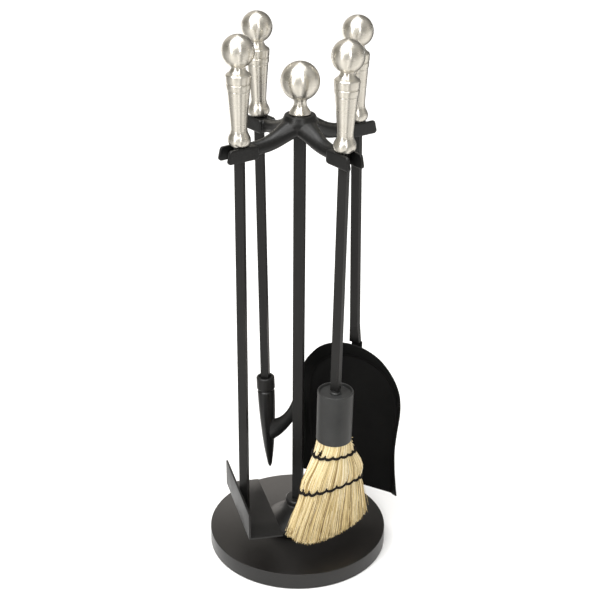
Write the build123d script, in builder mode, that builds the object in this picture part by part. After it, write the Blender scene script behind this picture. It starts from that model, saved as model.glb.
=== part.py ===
from build123d import *
import math
import os

# Fireplace tool set: a round stand with a four-arm rack, and four tools that hang from it
# (ash hoe, poker, brush and shovel).  Millimetres, +Z up.  The origin is the centre of the
# underside of the base pad; the arms of the rack point at 45, 135, 225 and 315 degrees.
os.makedirs("parts", exist_ok=True)

# ---------------------------------------------------------------- driving dimensions
BASE_R = 114.3            # 9 in round base
BASE_BOTTOM = 0.5         # the base's rim stands this far off the floor, on its pad
BASE_TOP = 21.9
PAD_R = 103.8
PAD_T = 2.0
POLE_S = 12.7             # 1/2 in square bar
POLE_TURN = -2.0          # degrees about +Z
HUB_BOTTOM = 552.6
HUB_TOP = 578.5
HUB_RING_R = 17.9
SOCKET_TOP = 564.0        # top of the pole inside the hub
RING_R = 83.1             # radius at which the tools hang
FORK_BOTTOM = 539.8
FORK_TOP = 556.0
FORK_W = 23.0             # across the two prongs
SLOT_W = 15.2
FORK_IN = 63.0
FORK_END = 106.0
ROD_S = 10.3              # square bar of the tools
ROD_EDGE = 0.45
ROD_TURN = {"hoe": -4.0, "poker": -4.0, "brush": -15.0, "shovel": -14.0}   # degrees about the tool's axis
SEAT = 556.5              # underside of a hanging handle
STUD_R = 3.0              # threaded rod inside a handle
KNOB_R = 18.3
KNOB_H = 105.8            # centre of the knob above the handle's underside
ROD_SINK = 8.0            # how far the square bar goes up into the bell
VIEW_AZ = 8.87            # direction across which the hanging tools lean, degrees
POKER_HEAD_LEAN = -0.041  # the poker's head is welded on a little out of line with its bar

# tool name: (arm direction in degrees, lean across VIEW_AZ as a slope, lower end of the bar above the floor)
TOOLS = {
    "hoe": (225.0, 0.0, 70.0),
    "poker": (135.0, -0.0162, 201.0),
    "brush": (315.0, 0.0152, 259.0),
    "shovel": (45.0, -0.0155, 288.0),
}


def tool_axis(name):
    """Point on the tool's axis at the height of the handle's underside, and the axis direction (up)."""
    arm, slope, _ = TOOLS[name]
    a, v = math.radians(arm), math.radians(VIEW_AZ)
    up = Vector(slope * math.cos(v), slope * math.sin(v), 1).normalized()
    mid = Vector(RING_R * math.cos(a), RING_R * math.sin(a), 549.0)   # the axis crosses the slot's middle here
    return mid + up * ((SEAT - 549.0) / up.Z), up


def axis_point(name, z):
    """Point on the tool's axis at height z."""
    o, up = tool_axis(name)
    return o + up * ((z - o.Z) / up.Z)


def turned(name, z=None, slope=None):
    """Half-section plane of a turned piece on the tool's axis, or leaning by slope: x outwards, y up the axis."""
    o, up = tool_axis(name)
    if slope is not None:
        v = math.radians(VIEW_AZ)
        up = Vector(slope * math.cos(v), slope * math.sin(v), 1).normalized()
    if z is not None:
        o = axis_point(name, z)
    x = (Vector(1, 0, 0) - up * up.dot(Vector(1, 0, 0))).normalized()
    return Plane(origin=o, x_dir=x, z_dir=x.cross(up)), Axis(o, up)


def across(name, z, turn=0.0):
    """Plane square to the tool's axis at height z on it, turned about the axis."""
    _, up = tool_axis(name)
    t = math.radians(turn)
    d = Vector(math.cos(t), math.sin(t), 0)
    x = (d - up * up.dot(d)).normalized()
    return Plane(origin=axis_point(name, z), x_dir=x, z_dir=up)


def along_handle(name, h, turn=0.0):
    """Plane square to the tool's axis at distance h up the axis from the handle's underside."""
    o, up = tool_axis(name)
    p = across(name, SEAT, turn)
    return Plane(origin=o + up * h, x_dir=p.x_dir, z_dir=up)


def upright(origin, azimuth):
    """Vertical plane through origin: x along azimuth, y up, normal towards azimuth - 90 degrees."""
    a = math.radians(azimuth)
    return Plane(origin=origin, x_dir=(math.cos(a), math.sin(a), 0), z_dir=(math.sin(a), -math.cos(a), 0))


def save(builder, label):
    builder.part.label = label
    export_step(builder.part, f"parts/{label}.step")


# ---------------------------------------------------------------- stand
# Round base: solid disc with crisp, barely broken edges, a shallow recess below for the pad,
# and a counterbored centre hole for the bolt that pulls the pole and its foot down.
with BuildPart() as base_plate:
    with BuildSketch(Plane.XY.offset(BASE_BOTTOM)):
        Circle(BASE_R)
    extrude(amount=BASE_TOP - BASE_BOTTOM)
    fillet(base_plate.edges().group_by(Axis.Z)[-1], 0.9)
    chamfer(base_plate.edges().group_by(Axis.Z)[0], 0.6)
    with BuildSketch(Plane.XY.offset(BASE_BOTTOM)):
        Circle(PAD_R + 0.3)
    extrude(amount=PAD_T - BASE_BOTTOM, mode=Mode.SUBTRACT)
    with BuildSketch(Plane.XY.offset(PAD_T)):
        Circle(9.5)
    extrude(amount=9.0, mode=Mode.SUBTRACT)
    with BuildSketch(Plane.XY.offset(PAD_T)):
        Circle(4.3)
    extrude(amount=30, mode=Mode.SUBTRACT)
save(base_plate, "base_plate")

# Thin felt pad that the stand rests on
with BuildPart() as base_pad:
    with BuildSketch():
        Circle(PAD_R)
    extrude(amount=PAD_T)
    fillet(base_pad.edges().group_by(Axis.Z)[0], 0.4)
save(base_pad, "base_pad")

# Washer and hexagon-head bolt that hold pole and foot to the base
with BuildPart() as base_washer:
    with BuildSketch(Plane.XY.offset(PAD_T + 7.4)):
        Circle(8.0)
        Circle(4.2, mode=Mode.SUBTRACT)
    extrude(amount=1.6)
save(base_washer, "base_washer")

with BuildPart() as base_bolt:
    with BuildSketch(Plane.XY.offset(PAD_T + 2.1)):
        RegularPolygon(6.5, 6, major_radius=False)
    extrude(amount=5.3)
    chamfer(base_bolt.edges().group_by(Axis.Z)[0], 0.6)
    with BuildSketch(Plane.XY.offset(PAD_T + 7.4)):
        Circle(4.0)
    extrude(amount=36.0)
save(base_bolt, "base_bolt")

# Flared foot: a wide skirt that sweeps up to a small ring round the pole
with BuildPart() as pole_foot:
    with BuildSketch(Plane.XZ) as foot_section:
        with BuildLine():
            Line((0, BASE_TOP), (41.2, BASE_TOP))
            Line((41.2, BASE_TOP), (42.0, BASE_TOP + 0.8))
            Line((42.0, BASE_TOP + 0.8), (42.0, 28.6))
            Line((42.0, 28.6), (40.8, 30.4))
            Spline((40.8, 30.4), (34.0, 33.4), (26.0, 38.6), (20.0, 45.6), (16.6, 53.6))
            Line((16.6, 53.6), (15.0, 54.6))
            Line((15.0, 54.6), (15.0, 55.6))
            Line((15.0, 55.6), (15.7, 56.3))
            Line((15.7, 56.3), (15.7, 60.4))
            Line((15.7, 60.4), (14.4, 61.8))
            Line((14.4, 61.8), (0, 61.8))
            Line((0, 61.8), (0, BASE_TOP))
        make_face()
    revolve(axis=Axis.Z)
    with BuildSketch(Plane.XY.offset(BASE_TOP).rotated((0, 0, POLE_TURN))):
        Rectangle(POLE_S, POLE_S)
    extrude(amount=60, mode=Mode.SUBTRACT)
save(pole_foot, "pole_foot")

# Square pole, tapped at both ends
with BuildPart() as pole:
    with BuildSketch(Plane.XY.offset(BASE_TOP).rotated((0, 0, POLE_TURN))):
        Rectangle(POLE_S, POLE_S)
    extrude(amount=SOCKET_TOP - BASE_TOP)
    with BuildSketch(Plane.XY.offset(BASE_TOP)):
        Circle(4.0)
    extrude(amount=24.0, mode=Mode.SUBTRACT)
    with BuildSketch(Plane.XY.offset(SOCKET_TOP)):
        Circle(4.0)
    extrude(amount=-22.0, mode=Mode.SUBTRACT)
save(pole, "pole")

# One arm of the rack, along +X: a rounded arm that falls away from the hub, ending in a
# flat two-prong fork whose slot opens outwards.
with BuildPart() as arm:
    for r, top, low, half in (
        (3.0, 576.6, 553.2, 15.6),
        (14.0, 575.6, 551.6, 14.8),
        (23.0, 571.4, 548.2, 12.4),
        (33.0, 565.6, 544.6, 10.4),
        (43.0, 561.0, 542.4, 9.4),
        (54.0, 558.2, 541.4, 8.7),
        (67.0, 557.1, 541.2, 8.2),
    ):
        with BuildSketch(Plane(origin=(r, 0, (top + low) / 2), x_dir=(0, 1, 0), z_dir=(1, 0, 0))):
            Ellipse(half, (top - low) / 2)
    loft()

with BuildPart() as fork:
    # side view of the fork: flat top, ends of the prongs sloping outwards to the bottom
    with BuildSketch(Plane.XZ):
        with BuildLine():
            FilletPolyline(
                (FORK_IN, FORK_BOTTOM), (FORK_END, FORK_BOTTOM), (FORK_END - 4.2, FORK_TOP), (FORK_IN + 1.5, FORK_TOP),
                radius=3.6, close=True,
            )
        make_face()
    extrude(amount=FORK_W / 2, both=True)
    fillet(fork.edges().filter_by(GeomType.LINE).filter_by(Axis.X), 1.3)
    # slot, open outwards, with a round closed end just inside the hanging tool
    with BuildSketch(Plane.XY.offset(FORK_BOTTOM - 5)):
        with Locations((RING_R, 0)):
            Circle(SLOT_W / 2)
        with Locations((RING_R + 20, 0)):
            Rectangle(40, SLOT_W)
    extrude(amount=40, mode=Mode.SUBTRACT)

# Rack: a conical hub with four arms, cast in one piece, bored for the pole and the finial stud
with BuildPart() as tool_rack:
    with BuildSketch(Plane.XZ):
        with BuildLine():
            Polyline(
                (0, HUB_BOTTOM), (13.5, HUB_BOTTOM + 0.4), (18.0, 557.0), (20.6, 562.5), (21.6, 568.0),
                (20.6, 571.5), (HUB_RING_R + 0.4, 576.6), (HUB_RING_R, HUB_TOP - 0.7), (HUB_RING_R - 0.7, HUB_TOP),
                (0, HUB_TOP), close=True,
            )
        make_face()
    revolve(axis=Axis.Z)
    with PolarLocations(0, 4, start_angle=45):
        add(arm.part)
        add(fork.part)
    with BuildSketch(Plane.XY.offset(HUB_BOTTOM - 10).rotated((0, 0, POLE_TURN))):
        Rectangle(POLE_S, POLE_S)
    extrude(amount=SOCKET_TOP - HUB_BOTTOM + 10, mode=Mode.SUBTRACT)
    with BuildSketch(Plane.XY.offset(SOCKET_TOP)):
        Circle(4.3)
    extrude(amount=40, mode=Mode.SUBTRACT)
save(tool_rack, "tool_rack")

# Finial: threaded stud, waisted neck and large ball
FINIAL_Z = 616.8
FINIAL_R = 22.4
NECK_TOP = 596.6
with BuildPart() as finial_stud:
    with BuildSketch(Plane.XY.offset(SOCKET_TOP - 20)):
        Circle(4.0)
    extrude(amount=62)
save(finial_stud, "finial_stud")

with BuildPart() as finial_neck:
    with BuildSketch(Plane.XZ):
        with BuildLine():
            Line((4.0, HUB_TOP), (11.4, HUB_TOP))
            Line((11.4, HUB_TOP), (12.5, HUB_TOP + 1.0))
            Line((12.5, HUB_TOP + 1.0), (12.3, HUB_TOP + 2.2))
            Spline((12.3, HUB_TOP + 2.2), (9.6, 585.0), (7.3, 590.2), (7.5, 593.6), (8.7, NECK_TOP))
            Line((8.7, NECK_TOP), (4.0, NECK_TOP))
            Line((4.0, NECK_TOP), (4.0, HUB_TOP))
        make_face()
    revolve(axis=Axis.Z)
save(finial_neck, "finial_neck")

with BuildPart() as finial_ball:
    with BuildSketch(Plane.XZ):
        with BuildLine():
            flat = FINIAL_Z - NECK_TOP
            rim = math.sqrt(FINIAL_R**2 - flat**2)
            Line((0, NECK_TOP), (rim, NECK_TOP))
            ThreePointArc((rim, NECK_TOP), (FINIAL_R, FINIAL_Z), (0, FINIAL_Z + FINIAL_R))
            Line((0, FINIAL_Z + FINIAL_R), (0, NECK_TOP))
        make_face()
    revolve(axis=Axis.Z)
    with BuildSketch(Plane.XY.offset(NECK_TOP)):
        Circle(4.0)
    extrude(amount=SOCKET_TOP - 20 + 62 - NECK_TOP, mode=Mode.SUBTRACT)
save(finial_ball, "finial_ball")

# ---------------------------------------------------------------- handles and bars of the four tools
COLLAR_TOP = 89.8
GRIP_TOP = 62.6
BELL_TOP = 18.0
GRIP_BORE = 7.0

for tool, (arm_dir, slope, rod_end) in TOOLS.items():
    plane, axis = turned(tool)
    # knob: a ball with a small flat where it meets the collar, drilled and tapped
    with BuildPart() as knob:
        with BuildSketch(plane):
            with BuildLine():
                drop = KNOB_H - COLLAR_TOP
                rim = math.sqrt(KNOB_R**2 - drop**2)
                Line((0, COLLAR_TOP), (rim, COLLAR_TOP))
                ThreePointArc((rim, COLLAR_TOP), (KNOB_R, KNOB_H), (0, KNOB_H + KNOB_R))
                Line((0, KNOB_H + KNOB_R), (0, COLLAR_TOP))
            make_face()
            with BuildLine():
                Polyline((0, COLLAR_TOP), (STUD_R, COLLAR_TOP), (STUD_R, 104.0), (0, 104.0), close=True)
            make_face(mode=Mode.SUBTRACT)
        revolve(axis=axis)
    save(knob, f"{tool}_knob")

    # collar: short flared neck, shoulder and two bands parted by fine grooves, with a spigot into the grip
    with BuildPart() as collar:
        with BuildSketch(plane):
            with BuildLine():
                Spline((7.7, COLLAR_TOP), (8.3, 86.4), (10.6, 82.9), (13.6, 80.6))
                Polyline(
                    (13.6, 80.6), (14.2, 79.6), (14.2, 78.2), (13.8, 71.6), (13.1, 71.0), (13.1, 70.4),
                    (13.75, 69.8), (13.3, 64.4), (12.6, 63.8), (12.6, GRIP_TOP), (GRIP_BORE, GRIP_TOP),
                    (GRIP_BORE, 56.0), (STUD_R, 56.0), (STUD_R, COLLAR_TOP), (7.7, COLLAR_TOP),
                )
            make_face()
        revolve(axis=axis)
    save(collar, f"{tool}_collar")

    # grip: hollow tapered sleeve
    with BuildPart() as grip:
        with BuildSketch(plane):
            with BuildLine():
                Line((GRIP_BORE, BELL_TOP), (9.1, BELL_TOP))
                Spline((9.1, BELL_TOP), (9.25, 24.0), (10.6, 40.0), (12.4, 60.8))
                Line((12.4, 60.8), (12.1, GRIP_TOP))
                Line((12.1, GRIP_TOP), (GRIP_BORE, GRIP_TOP))
                Line((GRIP_BORE, GRIP_TOP), (GRIP_BORE, BELL_TOP))
            make_face()
        revolve(axis=axis)
    save(grip, f"{tool}_grip")

    # bell: rounded ferrule that sits on the fork, with a spigot into the grip and a socket for the bar
    with BuildPart() as bell:
        with BuildSketch(plane):
            with BuildLine():
                Line((7.6, 0), (9.6, 0))
                Spline((9.6, 0), (11.6, 2.0), (12.95, 6.0), (12.5, 10.0), (10.4, 14.2), (9.5, BELL_TOP))
                Polyline(
                    (9.5, BELL_TOP), (GRIP_BORE, BELL_TOP), (GRIP_BORE, 24.0), (STUD_R, 24.0),
                    (STUD_R, ROD_SINK), (7.6, ROD_SINK), (7.6, 0),
                )
            make_face()
        revolve(axis=axis)
    save(bell, f"{tool}_bell")

    # threaded rod that runs from the square bar to the knob and clamps the handle together
    with BuildPart() as tie_rod:
        with BuildSketch(plane):
            with BuildLine():
                Polyline((0, -8.0), (STUD_R, -8.0), (STUD_R, 103.0), (0, 103.0), close=True)
            make_face()
        revolve(axis=axis)
    save(tie_rod, f"{tool}_tie_rod")

# Square bars.  The brush bar ends in a turned neck of its own; the hoe bar is cut to the blade.
HOE_TURN = 114.39                       # direction of the hoe's long edge
HOE_SLOPE = 3.0                         # the blade's floor falls away from its back by this much
HOE_T = 2.5
HOE_Z = 76.0                            # upper face of the blade at the bend
HOE_LEN, HOE_W, HOE_BACK = 129.0, 43.0, 33.5
HOE_FRONT = 64.5                        # from the bar's axis to the front end of the blade


def bar_sketch():
    Rectangle(ROD_S, ROD_S)


ROD_TOP = SEAT + ROD_SINK
# plane of the hoe blade's upper face, at the bar
hoe_o = axis_point("hoe", HOE_Z)
ht = math.radians(HOE_TURN)
hoe_u = Vector(math.cos(ht), math.sin(ht), 0)           # along the blade, away from the front end
hoe_v = Vector(math.sin(ht), -math.cos(ht), 0)          # from the back plate towards the free edge
hb = math.radians(HOE_TURN - 90 - ROD_TURN["hoe"])
reach = ROD_S / 2 * (abs(math.cos(hb)) + abs(math.sin(hb)))
hoe_corner = hoe_o - hoe_v * (reach + HOE_T + 0.02)     # on the back plate's outer face, level with the blade's upper face
hs = math.radians(HOE_SLOPE)
hoe_v_tilt = (hoe_v * math.cos(hs) - Vector(0, 0, 1) * math.sin(hs)).normalized()
hoe_normal = hoe_u.cross(hoe_v_tilt).normalized()
if hoe_normal.Z < 0:
    hoe_normal = hoe_normal * -1

with BuildPart() as hoe_bar:
    with BuildSketch(along_handle("hoe", ROD_SINK, ROD_TURN["hoe"])):
        bar_sketch()
    extrude(amount=-(ROD_TOP - 60.0))
    fillet(hoe_bar.edges().filter_by(lambda e: e.length > 100), ROD_EDGE)
    split(bisect_by=Plane(origin=hoe_corner, x_dir=hoe_u, z_dir=hoe_normal), keep=Keep.TOP)
    with BuildSketch(along_handle("hoe", ROD_SINK)):
        Circle(STUD_R)
    extrude(amount=-16.0, mode=Mode.SUBTRACT)
save(hoe_bar, "hoe_bar")

for tool in ("poker", "brush", "shovel"):
    rod_end = TOOLS[tool][2]
    _, up = tool_axis(tool)
    with BuildPart() as bar:
        with BuildSketch(along_handle(tool, ROD_SINK, ROD_TURN[tool])):
            bar_sketch()
        extrude(amount=-((SEAT - rod_end) / up.Z + ROD_SINK + (2.0 if tool == "poker" else 0.0)))
        fillet(bar.edges().filter_by(lambda e: e.length > 100), ROD_EDGE)
        if tool == "poker":                 # lower end cut square to the head
            head_plane, head_axis = turned("poker", rod_end, POKER_HEAD_LEAN)
            split(bisect_by=Plane(origin=axis_point("poker", rod_end), x_dir=head_plane.x_dir, z_dir=head_axis.direction), keep=Keep.TOP)
        with BuildSketch(along_handle(tool, ROD_SINK)):
            Circle(STUD_R)
        extrude(amount=-16.0, mode=Mode.SUBTRACT)
    save(bar, f"{tool}_bar")

# ---------------------------------------------------------------- hoe blade
# One strip bent to an angle: an upright back plate and a floor that falls gently away from it.
with BuildPart() as hoe_blade:
    front = Plane(origin=hoe_corner - hoe_u * HOE_FRONT, x_dir=hoe_v, z_dir=hoe_v.cross(Vector(0, 0, 1)))
    # section in (distance from the back face, height above the blade's upper face at the bend)
    dz = math.tan(hs)
    with BuildSketch(front):
        with BuildLine():
            FilletPolyline(
                (0, -HOE_T), (HOE_W, -HOE_T - dz * HOE_W), (HOE_W, -dz * HOE_W), (HOE_T, -dz * HOE_T),
                (HOE_T, HOE_BACK), (0, HOE_BACK), radius=0.3, close=True,
            )
        make_face()
    along = 1 if front.z_dir.dot(hoe_u) > 0 else -1
    extrude(amount=along * HOE_LEN)
save(hoe_blade, "hoe_blade")

# ---------------------------------------------------------------- poker head
POKER_TURN = -21.0                      # direction in which the hook points
plane, axis = turned("poker", 201.0, POKER_HEAD_LEAN)
with BuildPart() as poker_socket:       # plain ring with a chamfered upper rim and a shallow dish that the bar is welded into
    with BuildSketch(plane):
        with BuildLine():
            Polyline(
                (0, 0), (7.6, 0), (8.0, 2.6), (10.6, 2.6), (11.8, 1.2), (11.9, -14.0),
                (11.2, -15.2), (0, -15.2), close=True,
            )
        make_face()
    revolve(axis=axis)
save(poker_socket, "poker_socket")

with BuildPart() as poker_spike:
    # tapered body below a V-groove
    with BuildSketch(plane):
        with BuildLine():
            Line((0, -15.2), (9.6, -15.2))
            Line((9.6, -15.2), (9.6, -17.2))
            Line((9.6, -17.2), (11.4, -19.0))
            Spline((11.4, -19.0), (10.9, -42.0), (9.2, -75.0), (6.8, -103.0), (3.6, -126.0))
            Spline((3.6, -126.0), (2.2, -133.2), (0, -137.2))
            Line((0, -137.2), (0, -15.2))
        make_face()
    revolve(axis=axis)
    # curved hook: oval sections along a rising path
    face = upright(axis_point("poker", 130.0), POKER_TURN)
    w, n = face.x_dir, face.z_dir
    for s, z, tilt, half, thick in (
        (2.0, 122.6, 22.0, 15.6, 6.0),
        (12.6, 129.2, 28.0, 12.6, 5.8),
        (22.3, 137.3, 38.0, 10.0, 5.4),
        (32.0, 148.6, 55.0, 8.0, 4.8),
        (40.2, 163.2, 65.0, 6.6, 4.0),
        (45.2, 180.0, 72.0, 4.7, 3.0),
        (49.0, 195.0, 76.0, 2.6, 1.9),
        (51.5, 206.0, 78.0, 0.9, 0.9),
    ):
        t = math.radians(tilt)
        o = axis_point("poker", 130.0) + w * s + Vector(0, 0, z - 130.0)
        d = w * math.cos(t) + Vector(0, 0, 1) * math.sin(t)
        with BuildSketch(Plane(origin=o, x_dir=n, z_dir=d)):
            Ellipse(thick, half)
    loft()
save(poker_spike, "poker_spike")

# ---------------------------------------------------------------- brush head
FERRULE_R, FERRULE_TOP, FERRULE_LOW = 21.8, 257.6, 191.2
BRISTLE_R = 20.3
BRUSH_TURN = 45.0                       # direction of the bristles' width
plane, axis = turned("brush", FERRULE_TOP)
with BuildPart() as brush_ferrule:      # deep cup, open below, with a rolled rim round its sunken top
    depth = FERRULE_TOP - FERRULE_LOW
    with BuildSketch(plane):
        with BuildLine():
            FilletPolyline(
                (0, -3.6), (19.6, -3.6), (19.9, 0), (FERRULE_R, 0), (FERRULE_R - 0.25, -depth),
                (FERRULE_R - 1.3, -depth), (BRISTLE_R + 0.05, -6.0), (0, -6.0), radius=0.2,
            )
            Line((0, -6.0), (0, -3.6))
        make_face()
    revolve(axis=axis)
save(brush_ferrule, "brush_ferrule")

with BuildPart() as brush_neck:         # short turned neck between the bar and the ferrule
    with BuildSketch(plane):
        with BuildLine():
            rod_low = (TOOLS["brush"][2] - FERRULE_TOP)
            Polyline((0, -3.6), (6.9, -3.6), (6.9, -2.2), (5.6, -0.8), (5.6, rod_low), (0, rod_low), close=True)
        make_face()
    revolve(axis=axis)
save(brush_neck, "brush_neck")

# Bristle bundle: round in the ferrule, spreading to a flat, wide fan below
bw = math.radians(BRUSH_TURN)
brush_w = Vector(math.cos(bw), math.sin(bw), 0)
BUNDLE = (   # height, shift along the width, half width, half thickness
    (170.0, 0.0, 29.5, 19.0),
    (146.0, -1.0, 42.5, 16.5),
    (122.0, -3.0, 44.5, 14.0),
    (92.0, -6.0, 55.5, 11.0),
    (50.0, -9.5, 67.0, 8.0),
)


def bundle_plane(z, shift):
    return Plane(origin=axis_point("brush", z) + brush_w * shift, x_dir=brush_w, z_dir=(0, 0, 1))


with BuildPart() as brush_bristles:
    with BuildSketch(across("brush", 190.0)):
        Circle(BRISTLE_R - 0.4)
    for z, shift, half, thick in BUNDLE:
        with BuildSketch(bundle_plane(z, shift)):
            Ellipse(half, thick)
    loft()
    # the cut ends: lowest near the middle, rising to both sides
    fan = upright(axis_point("brush", 0.0), BRUSH_TURN)
    with BuildSketch(fan):
        with BuildLine():
            Spline((-90, 104), (-77, 86.5), (-62, 70.5), (-46, 60.5), (-28, 55.0), (0, 53.0), (24, 55.0), (42, 59.5), (58, 69.0), (80, 88))
            Polyline((80, 88), (80, 20), (-90, 20), (-90, 104))
        make_face()
    extrude(amount=40, both=True, mode=Mode.SUBTRACT)
    # the part of the bundle held in the ferrule
    with BuildSketch(across("brush", 190.0)):
        Circle(BRISTLE_R - 0.4)
    extrude(amount=(FERRULE_TOP - 190.0) / tool_axis("brush")[1].Z - 6.0)
save(brush_bristles, "brush_bristles")

# Two rows of waxed twine sewn round the bundle
with BuildPart() as brush_stitching:
    for z, shift, half, thick in ((168.6, 0.0, 31.4, 20.2), (121.0, -3.0, 45.6, 15.0)):
        with BuildSketch(bundle_plane(z, shift)):
            Ellipse(half, thick)
        extrude(amount=2.2)
    add(brush_bristles.part, mode=Mode.SUBTRACT)
save(brush_stitching, "brush_stitching")

# ---------------------------------------------------------------- shovel head
PAN_TURN = -19.0                        # direction of the pan's width
PAN_T = 1.6
PAN_DEEP = 12.0
pan_face = upright(axis_point("shovel", 160.0), PAN_TURN)
PAN_MID = -2.4


# half outlines, from the lower corner up to the crown, in (half width, height above the floor)
RIM = [
    (69.6, 58.5), (67.2, 78.7), (65.2, 101.0), (64.4, 127.0), (66.5, 153.6), (69.4, 179.8),
    (69.4, 197.4), (66.5, 213.4), (57.6, 231.4), (41.6, 249.1), (21.8, 259.2), (0, 262.6),
]
FLOOR = [
    (62.0, 53.0), (61.4, 74.0), (61.1, 96.0), (61.4, 124.0), (62.9, 150.0), (63.8, 174.0),
    (62.4, 193.0), (57.2, 210.0), (47.8, 224.5), (33.5, 235.8), (17.0, 242.2), (0, 244.2),
]


def pan_curve(half, grow, below):
    """Outline for one level of the pan, grown outwards by grow and reaching down by below."""
    pts = []
    for i, (x, z) in enumerate(half):
        a = math.atan2(z - 180.0, x) if z > 180.0 else 0.0
        pts.append((x + grow * math.cos(a), z + grow * math.sin(a)))
    pts[0] = (pts[0][0], pts[0][1] - below)
    right = [(PAN_MID + x, z - 160.0) for x, z in pts]
    left = [(PAN_MID - x, z - 160.0) for x, z in reversed(pts[:-1])]
    return right + left


with BuildPart() as shovel_pan:
    for level, half, grow in ((-PAN_T, FLOOR, 0.8), (PAN_DEEP, RIM, 0.8)):
        with BuildSketch(pan_face.offset(level)):
            with BuildLine():
                pts = pan_curve(half, grow, 0.0)
                Spline(*pts)
                Line(pts[-1], pts[0])
            make_face()
    loft(ruled=True)
    for level, half, grow in ((0.0, FLOOR, -0.8), (PAN_DEEP + 0.5, RIM, -0.75)):
        with BuildSketch(pan_face.offset(level)):
            with BuildLine():
                pts = pan_curve(half, grow, 12.0)
                Spline(*pts)
                Line(pts[-1], pts[0])
            make_face()
    loft(ruled=True, mode=Mode.SUBTRACT)
save(shovel_pan, "shovel_pan")

# Tang: the flattened end of the bar, running down behind the pan
with BuildPart() as shovel_tang:
    with BuildSketch(across("shovel", 288.0, ROD_TURN["shovel"])):
        Rectangle(ROD_S, ROD_S)
    lower = axis_point("shovel", 264.0)
    with BuildSketch(Plane(origin=lower + pan_face.z_dir * -1.4, x_dir=pan_face.x_dir, z_dir=(0, 0, 1))):
        Rectangle(13.8, 6.4)
    loft()
    # strap: lies flat against the back of the pan's floor
    back = axis_point("shovel", 160.0) + pan_face.z_dir * -(PAN_T + 1.5)
    with BuildSketch(Plane(origin=(back.X, back.Y, 264.0), x_dir=pan_face.x_dir, z_dir=(0, 0, 1))):
        Rectangle(13.8, 3.0)
    extrude(amount=-62.0)
save(shovel_tang, "shovel_tang")
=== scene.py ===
import math
import statistics

import bmesh
import bpy
import numpy as np
from mathutils import Matrix, Vector


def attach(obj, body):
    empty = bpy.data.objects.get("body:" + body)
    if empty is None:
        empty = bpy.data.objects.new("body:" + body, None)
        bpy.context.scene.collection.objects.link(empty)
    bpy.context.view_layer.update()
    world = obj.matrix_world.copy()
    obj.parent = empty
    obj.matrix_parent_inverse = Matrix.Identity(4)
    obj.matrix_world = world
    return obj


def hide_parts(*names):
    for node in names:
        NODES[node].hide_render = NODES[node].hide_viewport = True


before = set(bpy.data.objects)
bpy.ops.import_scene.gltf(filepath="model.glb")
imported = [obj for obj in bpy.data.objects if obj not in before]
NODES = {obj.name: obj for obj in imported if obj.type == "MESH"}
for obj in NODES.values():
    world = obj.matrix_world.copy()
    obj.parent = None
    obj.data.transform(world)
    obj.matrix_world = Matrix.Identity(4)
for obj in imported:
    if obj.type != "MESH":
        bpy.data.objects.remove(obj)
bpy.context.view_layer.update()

# Fireplace tool set: round stand with a four-arm rack, and an ash hoe, a poker, a brush and a
# shovel that hang from it. Metres, +Z up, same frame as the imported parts.
scene = bpy.context.scene
for junk in [o for o in bpy.data.objects if o.type in ("LIGHT", "CAMERA")]:
    bpy.data.objects.remove(junk)
rng = np.random.default_rng(20817)
MM = 0.001

# ---------------------------------------------------------------- camera
TH, PSI, ROLL = 0.4372, -0.1549, 0.0065
F = Vector((math.sin(PSI) * math.cos(TH), math.cos(PSI) * math.cos(TH), -math.sin(TH)))
R0 = Vector((math.cos(PSI), -math.sin(PSI), 0))
U0 = R0.cross(F)
RR = R0 * math.cos(ROLL) + U0 * math.sin(ROLL)
UU = -R0 * math.sin(ROLL) + U0 * math.cos(ROLL)
cam_data = bpy.data.cameras.new("camera")
cam_data.sensor_width = 36.0
cam_data.lens = 75.86
cam_data.clip_start = 0.05
cam_data.clip_end = 60
cam = bpy.data.objects.new("camera", cam_data)
scene.collection.objects.link(cam)
cam.matrix_world = Matrix((
    (RR.x, UU.x, -F.x, 0.2158106),
    (RR.y, UU.y, -F.y, -1.3738362),
    (RR.z, UU.z, -F.z, 0.9949939),
    (0, 0, 0, 1),
))
scene.camera = cam
scene.view_settings.view_transform = "Standard"
scene.view_settings.look = "None"

# ---------------------------------------------------------------- numbers shared with the parts
VIEW_AZ = math.radians(8.87)
RING_R, SEAT = 83.1, 556.5
TOOLS = {"hoe": (225.0, 0.0), "poker": (135.0, -0.0162), "brush": (315.0, 0.0152), "shovel": (45.0, -0.0155)}
BASE_TOP = 21.9


def tool_axis(name):
    """Point on a tool's axis at the underside of its handle, and the direction up the axis (mm)."""
    arm, slope = TOOLS[name]
    a = math.radians(arm)
    up = Vector((slope * math.cos(VIEW_AZ), slope * math.sin(VIEW_AZ), 1)).normalized()
    mid = Vector((RING_R * math.cos(a), RING_R * math.sin(a), 549.0))
    return mid + up * ((SEAT - 549.0) / up.z), up


def axis_point(name, z):
    o, up = tool_axis(name)
    return o + up * ((z - o.z) / up.z)


# ---------------------------------------------------------------- node helpers
def new_material(name):
    m = bpy.data.materials.new(name)
    m.use_nodes = True
    nt = m.node_tree
    bsdf = nt.nodes["Principled BSDF"]
    return m, nt, bsdf


def add(nt, kind, **values):
    n = nt.nodes.new(kind)
    for k, v in values.items():
        if k.startswith("_"):
            setattr(n, k[1:], v)
        else:
            n.inputs[k.replace("__", " ")].default_value = v
    return n


def ramp(nt, stops, interp="LINEAR"):
    n = nt.nodes.new("ShaderNodeValToRGB")
    n.color_ramp.interpolation = interp
    el = n.color_ramp.elements
    while len(el) > 1:
        el.remove(el[-1])
    el[0].position, el[0].color = stops[0][0], (*stops[0][1], 1)
    for p, c in stops[1:]:
        e = el.new(p)
        e.color = (*c, 1)
    return n


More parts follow.
